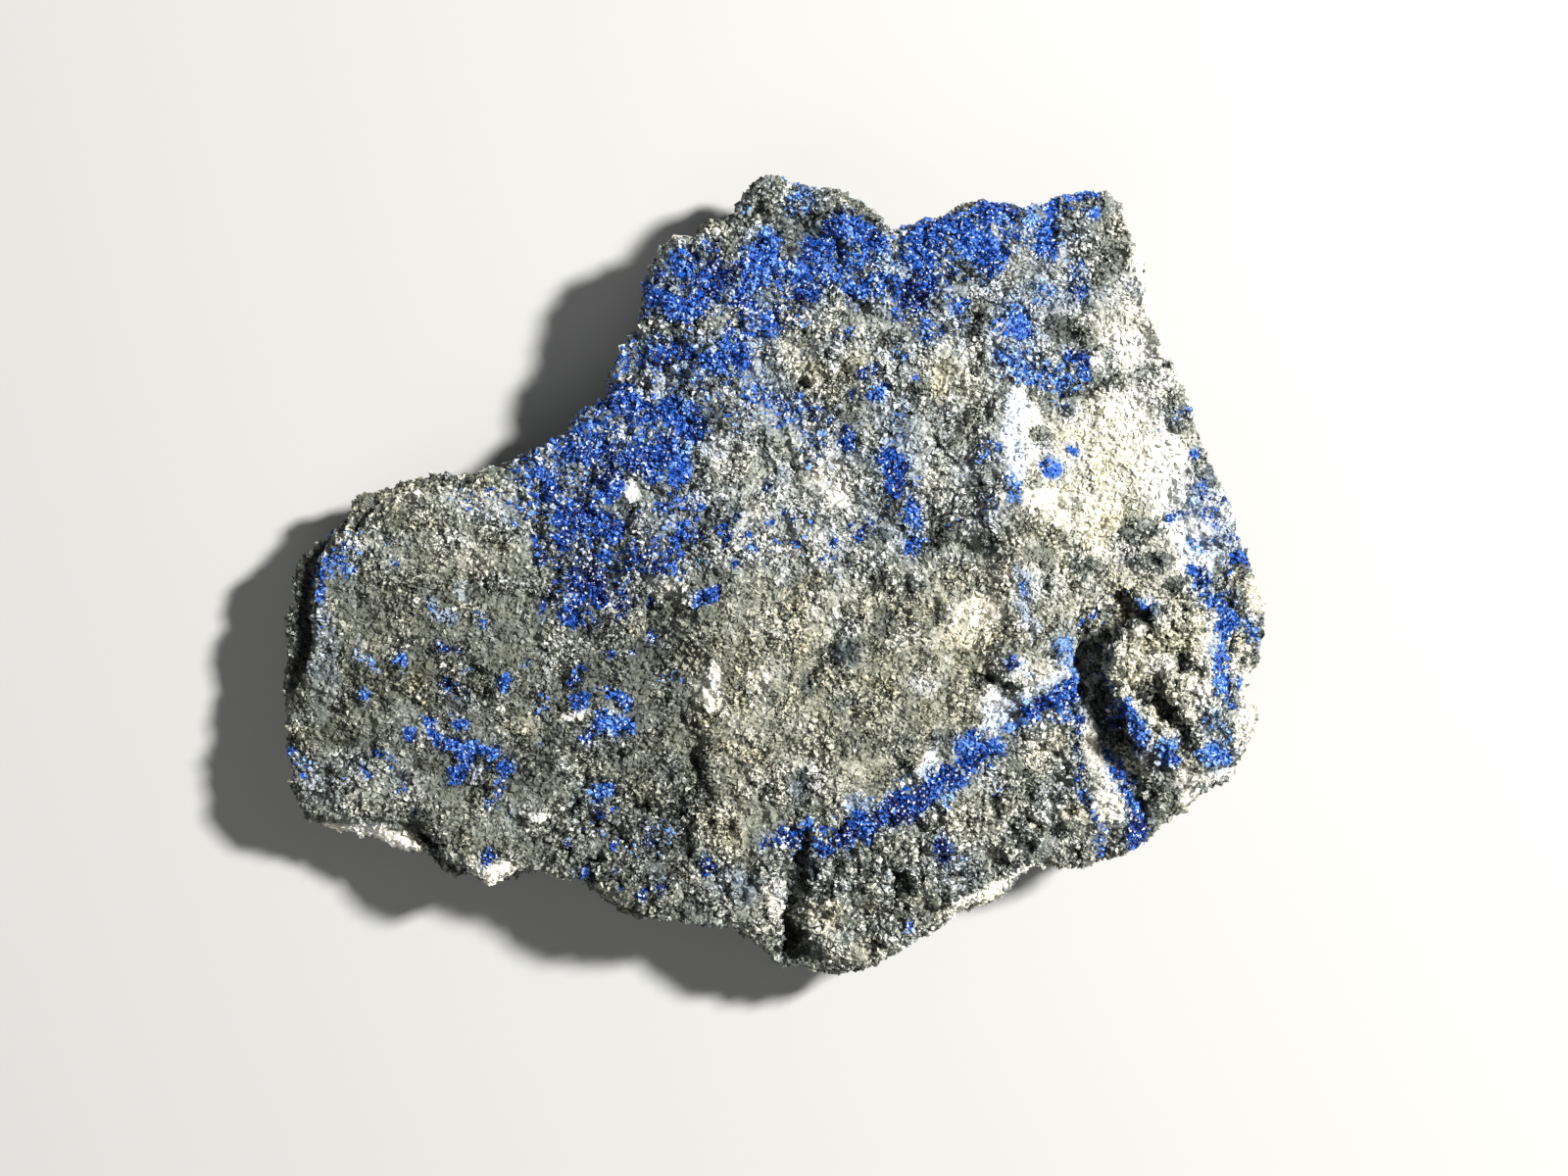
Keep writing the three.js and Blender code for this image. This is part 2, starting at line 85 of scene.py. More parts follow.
# Marble tones, as soft patches: east, north, half width, half height, tone from 0 dark to 1 white,
# and warmth from -1 cool grey to 1 cream or olive. Later patches lie over earlier ones.
TONE_PATCHES = (
    # The broad fields
    (-22, -7, 17, 16, 0.48, 0.4), (-10, -12, 8, 12, 0.33, 0.25), (6, -8, 13, 12, 0.63, 0.55),
    (6, 8, 13, 10, 0.67, -0.1), (6, 17, 14, 6, 0.66, -0.1), (-10, 13, 8, 12, 0.52, -0.1),
    (8, -23, 12, 5, 0.55, 0.1), (20, -15, 8, 6, 0.63, 0.1), (27, -7, 6, 7, 0.84, 0.4),
    (24, 0, 9, 4, 0.74, 0.35), (22, 3.4, 5, 1.8, 0.84, 0.5), (18, 20, 6, 6, 0.75, -0.25),
    (1, 26, 6, 3.5, 0.42, 0),
    # The west lobe
    (-23, -7.5, 4, 2.6, 0.29, 0.3), (-27, -15.4, 4, 3, 0.55, 0.15), (-28, -2, 3.4, 3, 0.5, 0.45),
    (-24, 3, 8, 3.5, 0.62, 0.3), (-20, 5, 2.2, 1.6, 0.72, 0.2), (-25, 5.6, 3, 0.8, 0.74, 0.2),
    (-32, -6, 1.2, 5, 0.55, -0.3), (-31, -15, 3.2, 2.4, 0.6, 0), (-27.3, -16, 2.2, 1.8, 0.6, 0.25),
    (-17.3, -10.9, 1.1, 1, 0.68, 0.5), (-22, 1, 2, 1.2, 0.62, 0.4), (-15.5, -5.3, 2, 1, 0.56, 0.1),
    (-27, -7.6, 3.2, 1.4, 0.3, 0.8), (-30.6, -11.6, 1.5, 1, 0.3, 0.8), (-21.6, -13.6, 2.6, 2, 0.2, 0),
    (-24.6, -13.4, 1, 0.9, 0.16, 0.4), (-21.2, -14.5, 0.5, 0.4, 0.6, -0.4),
    (-17.6, -14, 2.4, 1.5, 0.2, 0.3), (-18.6, -4, 2, 1, 0.36, 0.3), (-23, -1.6, 2.2, 0.7, 0.32, 0),
    (-8.6, -5.3, 1.7, 1.4, 0.3, 0), (-11.6, -6.4, 1.1, 1.2, 0.34, 0.3), (-27.4, 3.8, 1.2, 0.8, 0.4, 0.6),
    # The patch at (-24.9, -17.6) is painted shadow below the south-west shelf.
    (-9.4, -18.4, 2, 1.4, 0.24, 0), (-8, -21.2, 1, 2, 0.3, 0), (-24.9, -17.6, 0.8, 0.8, 0.14, 0),
    (-5.6, -24, 1.3, 0.6, 0.2, 0), (-12, -20, 1.6, 1.2, 0.36, 0.2), (-29, -2.4, 2.4, 1.4, 0.44, 0.5),
    (-20.4, -9.8, 1.4, 1, 0.32, 0.4), (-13, -13.6, 2.4, 1.2, 0.48, 0.2), (-10, -15, 2.6, 1.6, 0.42, 0.3),
    (-19.4, -18, 3, 1.4, 0.56, 0.2), (-14.6, -17.4, 1.4, 2, 0.4, 0.3), (-29.2, -18.8, 2, 0.9, 1, 0.2),
    (-26.2, -19.6, 1.1, 0.8, 0.9, 0.1), (-20, -21.7, 1.6, 0.9, 1, 0.35), (-21, -20.9, 1, 0.6, 0.85, 0.2),
    # The step and the beige plateau
    (-7, -1, 1.6, 0.9, 0.68, 0), (-4, -8.4, 1.2, 1.4, 0.88, 0.3), (-1, -7.6, 1.1, 1, 0.84, 0.3),
    (-3.6, -18.4, 2.4, 2, 0.68, 0.4), (-2.2, -12, 2, 2, 0.7, 0.6), (-5, -14, 0.5, 2, 0.22, 0.1),
    (1.6, -2, 1.3, 1.2, 0.72, 0.8), (6, -4, 1.5, 0.7, 0.74, 0.1), (4, -14.4, 3, 1.6, 0.72, 0.3),
    (11, -8, 1.3, 1, 0.8, 0), (14, -4.6, 2.6, 1.1, 0.8, 0.6), (15, -2.7, 2.1, 1.3, 0.97, 0.5),
    (18, -1, 1.5, 1.4, 0.84, 0), (18, -7.4, 1.3, 1.5, 0.88, 0), (20.4, -6, 1.2, 1.6, 0.76, 0.1),
    (8, -12, 3, 1.4, 0.55, 0.6), (1, -10.4, 1.6, 1.2, 0.64, 0.4), (9.6, -6, 1.4, 1, 0.62, 0.7),
    (12, -2.9, 0.7, 1, 0.24, 0.6), (8, -3.4, 0.8, 1.2, 0.3, 0.2), (5.6, -5.6, 1.3, 1, 0.36, -0.4),
    (2.7, -8, 0.7, 1, 0.36, -0.1), (5, -9.4, 1.1, 0.7, 0.34, 0.2), (3.4, -0.6, 1.4, 0.6, 0.42, 0.8),
    (15.4, -7.6, 1.3, 0.55, 0.2, 0), (17.1, -8.1, 0.8, 0.5, 0.24, 0), (12, -11.8, 1, 0.7, 0.32, 0),
    (9.8, -13.8, 0.7, 0.7, 0.3, 0), (2, -15.3, 0.8, 1.3, 0.4, -0.4), (-3, -7.6, 0.6, 1.2, 0.45, 0.8),
    (16, -9.4, 1.1, 1.5, 0.98, -0.2), (11.4, -13.6, 0.7, 1.1, 0.92, -0.2),
    # The coarse band below the main vein
    (-2.6, -22.4, 2, 1.6, 0.56, -0.5), (0.4, -23.4, 0.7, 1.5, 0.86, -0.1), (4, -24.6, 1.5, 1.8, 0.7, 0.6),
    # The patch at (1.7, -26.8) is painted shadow in the south gully.
    (6, -27, 2, 1, 0.68, 0.4), (2.4, -21, 1, 2.2, 0.14, -0.1), (1.7, -26.8, 1.1, 1.2, 0.02, 0),
    (3.6, -22.6, 1, 0.8, 0.24, 0), (7, -21, 1, 1, 0.26, 0), (9.4, -22.1, 0.9, 0.9, 0.2, 0),
    (5.4, -20, 1.4, 0.7, 0.6, -0.4), (8.2, -22.8, 0.7, 0.5, 0.74, 0), (14, -21.8, 1.4, 1, 0.4, 0),
    (17.4, -18.3, 0.7, 0.9, 0.2, 0), (18.4, -19.4, 0.9, 0.7, 0.22, 0), (17.8, -15, 1.3, 1.5, 0.38, 0.1),
    (16.2, -22.6, 1, 0.6, 0.95, 0.2), (19.4, -12.4, 1.5, 1.8, 0.76, 0.3), (21.6, -17, 1, 0.8, 0.84, 0.6),
    (23, -11.6, 0.8, 2.2, 0.88, 0.2), (24, -15.6, 1, 2.4, 0.88, 0.3), (20.6, -18.4, 0.8, 0.7, 0.32, 0),
    (12.4, -22.8, 1.6, 1, 0.5, 0), (15, -19, 1.4, 1.4, 0.58, 0.2), (10.6, -25.4, 1, 0.6, 0.72, 0.3),
    # The rough lump and the east rim
    (31.4, 3, 1.8, 3.4, 0.95, -0.15), (28, -15, 1, 1.2, 0.38, 0.2), (29.7, -15, 0.6, 1.2, 1, 0.1),
    (30.4, -7.4, 0.7, 2.8, 0.88, 0.1), (33.8, -9.4, 0.9, 3, 0.86, 0.4), (34.4, -1.4, 0.7, 1.6, 0.88, 0.4),
    # The darkest patches here, at (27.2, -8.6), (28.4, -10), (29.6, -11.8), (29.2, -6.2) and (29.6, -2), are
    # painted shade in the lump's holes.
    (33.2, -5.4, 0.9, 1, 0.78, 0.4), (30, -3.6, 1, 0.9, 0.74, 0.6), (27.2, -8.6, 0.9, 0.8, 0.1, 0.2),
    (28.4, -10, 0.8, 0.9, 0.14, 0.2), (29.6, -11.8, 0.6, 0.7, 0.1, 0), (29.2, -6.2, 0.4, 1, 0.12, 0.2),
    (29.6, -2, 1.1, 0.6, 0.16, 0), (26.2, -3, 2, 0.7, 0.4, 0), (31, -10.4, 0.9, 1, 0.36, 0),
    (31.6, -5, 0.5, 3, 0.7, 0), (28, -5, 1.6, 0.8, 0.6, 0.8), (32.6, 0.4, 1.2, 0.6, 0.4, 0.2),
    (33.2, -0.2, 0.7, 0.6, 0.5, 0.9),
    # The north-west field
    (-10, 5.75, 0.75, 0.85, 1.1, 0.05), (-8.5, 5.9, 0.5, 0.45, 0.78, -0.3),
    (-7.3, 3.4, 0.65, 0.5, 0.98, 0.1), (-9.8, 2.6, 1.1, 1, 0.62, 0.1), (-14.2, 7.4, 0.9, 0.45, 0.66, 0.1),
    (-12.2, 7.4, 0.4, 0.35, 0.66, 0.1), (-8.2, -0.9, 1.3, 1, 0.76, 0.1),
    (-9.8, -3.7, 0.7, 1.1, 0.72, 0.4), (-12.6, -5.4, 0.9, 0.6, 0.64, 0.2),
    (-13.2, -0.8, 2.4, 1.8, 0.24, -0.3), (-15, 1.4, 0.8, 2, 0.2, 0), (-5.2, 5, 1.1, 1, 0.7, 0.1),
    (4.6, 6.3, 0.35, 0.6, 1.1, 0), (5, 5.3, 0.45, 0.4, 1.1, 0), (-16.8, 0.8, 0.5, 0.5, 0.55, 0.1),
    (-7.8, 13.4, 1, 1.4, 0.82, -0.1), (-10.4, 13.6, 0.7, 0.8, 0.75, -0.2),
    (-7.3, 23.9, 0.9, 0.5, 0.8, 0.1), (-3.8, 24.5, 1.1, 0.6, 0.66, 0.4), (-0.7, 24.6, 1, 1.5, 0.7, 0),
    (-3.8, 18, 1.7, 1.2, 0.58, 0.5), (-3.4, 8.6, 1.7, 1.4, 0.8, -0.1), (-1, 7.4, 1.4, 1.2, 0.7, 0.1),
    (-14.3, 8.5, 0.7, 0.6, 0.84, 0), (-10.8, 10, 1, 0.5, 0.78, -0.2), (-8, 17.4, 1.3, 0.6, 0.5, 0.5),
    (-4, 3.4, 1.5, 1, 0.4, 0.1), (-10, 4.4, 0.7, 0.5, 0.22, -0.2), (-3.6, 11.2, 1.5, 0.8, 0.38, 0),
    (-9.2, 19.4, 0.7, 1, 0.3, 0), (-2, 2.2, 1.6, 1, 0.66, 0.1),
    # The north field and the peak
    (4.3, 7, 1.6, 2.1, 0.84, -0.1), (3.6, 2.2, 1, 1.6, 0.82, -0.1), (13, 14, 1.6, 3, 0.76, 0),
    (15.4, 13, 1.2, 2, 0.66, 0.1), (3.8, 13, 1.2, 1.6, 0.66, 0.2), (9, 14, 0.8, 1, 0.72, -0.1),
    (6.8, 18, 1.4, 1.4, 0.64, 0.1), (17.5, 22, 1.5, 1.8, 0.62, 0.2), (22.3, 24.8, 1, 1.2, 0.64, 0.1),
    (24.4, 25, 0.9, 1.4, 0.66, 0.2), (15.4, 4, 1.2, 1, 0.78, -0.2), (10.8, 7.6, 0.9, 1, 0.68, 0),
    (1, 9.3, 1.6, 0.9, 0.66, 0.1), (8.6, 24.2, 1.2, 0.4, 0.76, 0), (6.6, 5, 1.2, 1.6, 0.66, -0.1),
    (11.8, 3, 1, 1.4, 0.14, 0), (9, 5, 0.8, 1.5, 0.26, 0), (8, 2.7, 1, 0.6, 0.32, -0.4),
    (15.5, 2, 1, 0.8, 0.32, 0), (14.6, 18, 0.9, 1.8, 0.22, 0), (13.5, 21.3, 1.2, 0.8, 0.24, 0),
    (10.4, 13.2, 0.8, 0.8, 0.28, 0.2), (3.2, 14.4, 1.2, 0.8, 0.56, 0.5), (14.8, 6, 1.3, 1, 0.42, -0.2),
    (12.6, 10, 1, 1.2, 0.42, 0), (17.4, 24.3, 0.6, 1, 0.36, 0.1), (3.2, 25, 2.4, 1.2, 0.3, 0),
    (0.6, 26.6, 1.4, 1.2, 0.46, 0), (5.8, 26, 1.3, 0.7, 0.44, 0.4), (6, 12, 1, 1.4, 0.42, 0.2),
    # The white patch and the north-east
    (27.2, 14.4, 3.4, 1.9, 0.84, 0.05), (23, 4.2, 4.8, 2, 0.82, 0.45), (24, 8.6, 6.4, 4.2, 0.86, 0.35),
    (18, 10, 1.5, 2.7, 0.98, 0), (28.2, 8, 1.9, 3, 0.96, 0.1), (28.8, 5.2, 1.2, 2, 1, 0),
    (19.6, 5.4, 1.7, 0.8, 1, 0.4), (23, 4.8, 2.6, 0.9, 0.9, 0.4), (25, 12.2, 2.6, 1, 0.97, 0.15),
    (25.6, 17, 2, 2.3, 0.88, 0.05), (26.1, 21.4, 0.7, 2, 0.97, 0.1), (23.3, 15, 0.7, 0.7, 0.95, 0),
    (26.4, 20.6, 0.9, 2.6, 0.95, 0.1), (27.9, 16.2, 0.9, 2.2, 0.92, 0.1),
    (27.9, 12.4, 0.9, 0.8, 0.8, 0.2), (30, 1.6, 0.8, 1.4, 0.92, 0), (23.2, 2.2, 0.8, 1.6, 0.9, 0.5),
    (31.6, 4.6, 1.1, 1, 0.9, -0.1), (19.3, 9.6, 0.8, 0.7, 0.5, 0.1), (17.8, 8.7, 0.4, 0.4, 0.4, 0),
    (28.7, 10.5, 0.8, 0.5, 0.46, 0.1), (31.2, 7, 0.5, 0.8, 0.35, -0.1), (20.8, 17.2, 1.6, 1, 0.3, -0.1),
    (21.4, 13.3, 1, 0.7, 0.22, -0.2), (26.8, 13.9, 1.2, 0.4, 0.68, -0.1), (23.8, 21.6, 0.8, 0.8, 0.38, 0),
    (26, 3, 1.8, 1.1, 0.46, 0), (19.8, 3, 2, 0.9, 0.56, 0.6), (21.6, 4.6, 0.4, 0.6, 0.4, 0.2),
    (22.3, 0.6, 1.4, 0.6, 0.4, 0.1), (26.6, 0.8, 2, 0.8, 0.5, 0), (19.2, 1.4, 1.2, 0.8, 0.5, 0.5),
    (23.6, 6.6, 1, 1.6, 0.86, 0.6), (21.6, 9.6, 1.4, 1, 0.9, 0.6),
)

# Narrow light and dark streaks, laid over the patches: path, half width, tone and warmth.
TONE_STROKES = (
    # White rims of the east and the south, partly painted light where they face the lamp, and the ivory shelf
    # of the south-west corner
    (((26, 22.2), (26.7, 20.4), (27.4, 18), (28.2, 16)), 0.5, 1, 0.15),
    (((25.3, 19.6), (24.6, 17.4)), 1.6, 0.82, 0.05), (((26.6, 19), (26.4, 16.4)), 1.4, 0.86, 0.05),
    (((20, 3.9), (22.8, 3.8), (24.4, 3.4)), 0.8, 0.88, 0.4),
    (((28.4, 4.6), (29.4, 2.4), (29.8, 0.8)), 0.9, 0.98, 0),
    (((30.6, 5.6), (31.4, 3), (32.4, 1.6)), 0.9, 0.85, -0.2),
    (((30.8, -6), (30.4, -8.6)), 0.6, 0.86, 0.1),
    (((33.8, -7.6), (34.2, -10), (33.6, -12)), 0.7, 0.9, 0.4),
    (((30, -15.6), (29.4, -16.4)), 0.5, 1, 0.2),
    (((32.6, -14), (31, -14.6), (30.2, -15.4)), 0.35, 1, 0.1),
    (((13.2, -23.9), (15.2, -23), (16.6, -22.6), (17.4, -21.8), (18.8, -21)), 0.35, 0.98, 0.2),
    (((11.6, -24.8), (12.8, -24.2)), 0.3, 0.85, 0.3),
    (((22.8, -10.8), (23.4, -12.6), (24, -14.6), (24.8, -17)), 0.75, 0.9, 0.2),
    (((-31.6, -18.4), (-30, -18.8), (-28.2, -18.7), (-27, -19.3), (-25.5, -20)), 0.62, 1, 0.25),
    (((-20.2, -22.2), (-19.5, -21.6), (-18.6, -21.2)), 0.5, 1, 0.35),
    (((15.7, -11), (16.2, -9.6), (16.4, -8.6)), 0.75, 1, -0.3),
    (((17.6, -9.2), (19.4, -8), (21, -7.4)), 0.5, 0.92, -0.4),
    (((10.8, -14.4), (11.5, -13.4), (11.6, -12.9)), 0.5, 0.97, -0.4),
    (((5.6, -16.6), (6.6, -16.1), (7.6, -16.8)), 0.45, 0.8, -0.7),
    (((20.8, -5.2), (21.6, -6.6)), 0.6, 0.8, -0.9),
    (((-29.8, -5.8), (-28.9, -6.2), (-28.2, -7)), 0.35, 0.75, -1),
    (((-24.3, -2.1), (-23.6, -2.9), (-22.8, -3.3)), 0.4, 0.68, -1),
    (((-22.2, -0.8), (-21.9, -1.8)), 0.4, 0.68, -0.4),
    (((17.5, 12.4), (17, 10), (17.5, 7)), 0.7, 1, -0.4),
    (((-32.2, -2.4), (-31.9, -5), (-32.8, -7.4)), 0.35, 0.6, -0.3),
    (((31, -3.4), (31, -5.4)), 0.35, 0.85, -0.4),
    (((17.9, 0.2), (17.8, -2.6), (18.8, -4.4)), 0.4, 0.85, -0.6),
    (((0.6, 16.8), (1.6, 14.6), (3.4, 12.6)), 0.5, 0.74, 0.2),
    (((-4, 1), (-1.8, 3.2), (0.4, 5.4)), 0.7, 0.74, 0.1), (((6.4, 15.4), (5.6, 14.2)), 0.7, 0.7, 0.5),
    (((12.6, 14.6), (12, 13)), 0.7, 0.72, 0.7), (((-4.4, -8.2), (-3.8, -9.6)), 0.6, 0.92, 0.3),
    # Painted shade down the west side, painted shadow in the undercut of the south-west, and small light and
    # dark specks
    (((-30.9, 4.6), (-32.6, 2.9), (-33.6, 0.6), (-33.7, -3), (-33.6, -5), (-34.6, -7.6)), 0.7, 0.08, 0.2),
    (((-14.9, -10.4), (-14, -10.3), (-13.3, -9.9)), 0.25, 1, 0),
    (((-16.7, -17.5), (-16.3, -17.5)), 0.35, 1, -0.1), (((-14.5, -9.2), (-14.6, -10)), 0.2, 0.05, 0),
    (((-15.6, -18), (-14.8, -18.9)), 0.18, 0.05, 0),
    (((-24.3, -20), (-22.6, -21.3), (-21, -22.3)), 0.35, 0.1, 0),
    # Painted shadow of the rough lump, in the bottom of the groove round it
    (((26.2, -2.9), (24.6, -3.5), (23.3, -4.8), (23, -7), (23.8, -9.6), (24.8, -12.6)), 0.85, 0.02, 0),
)

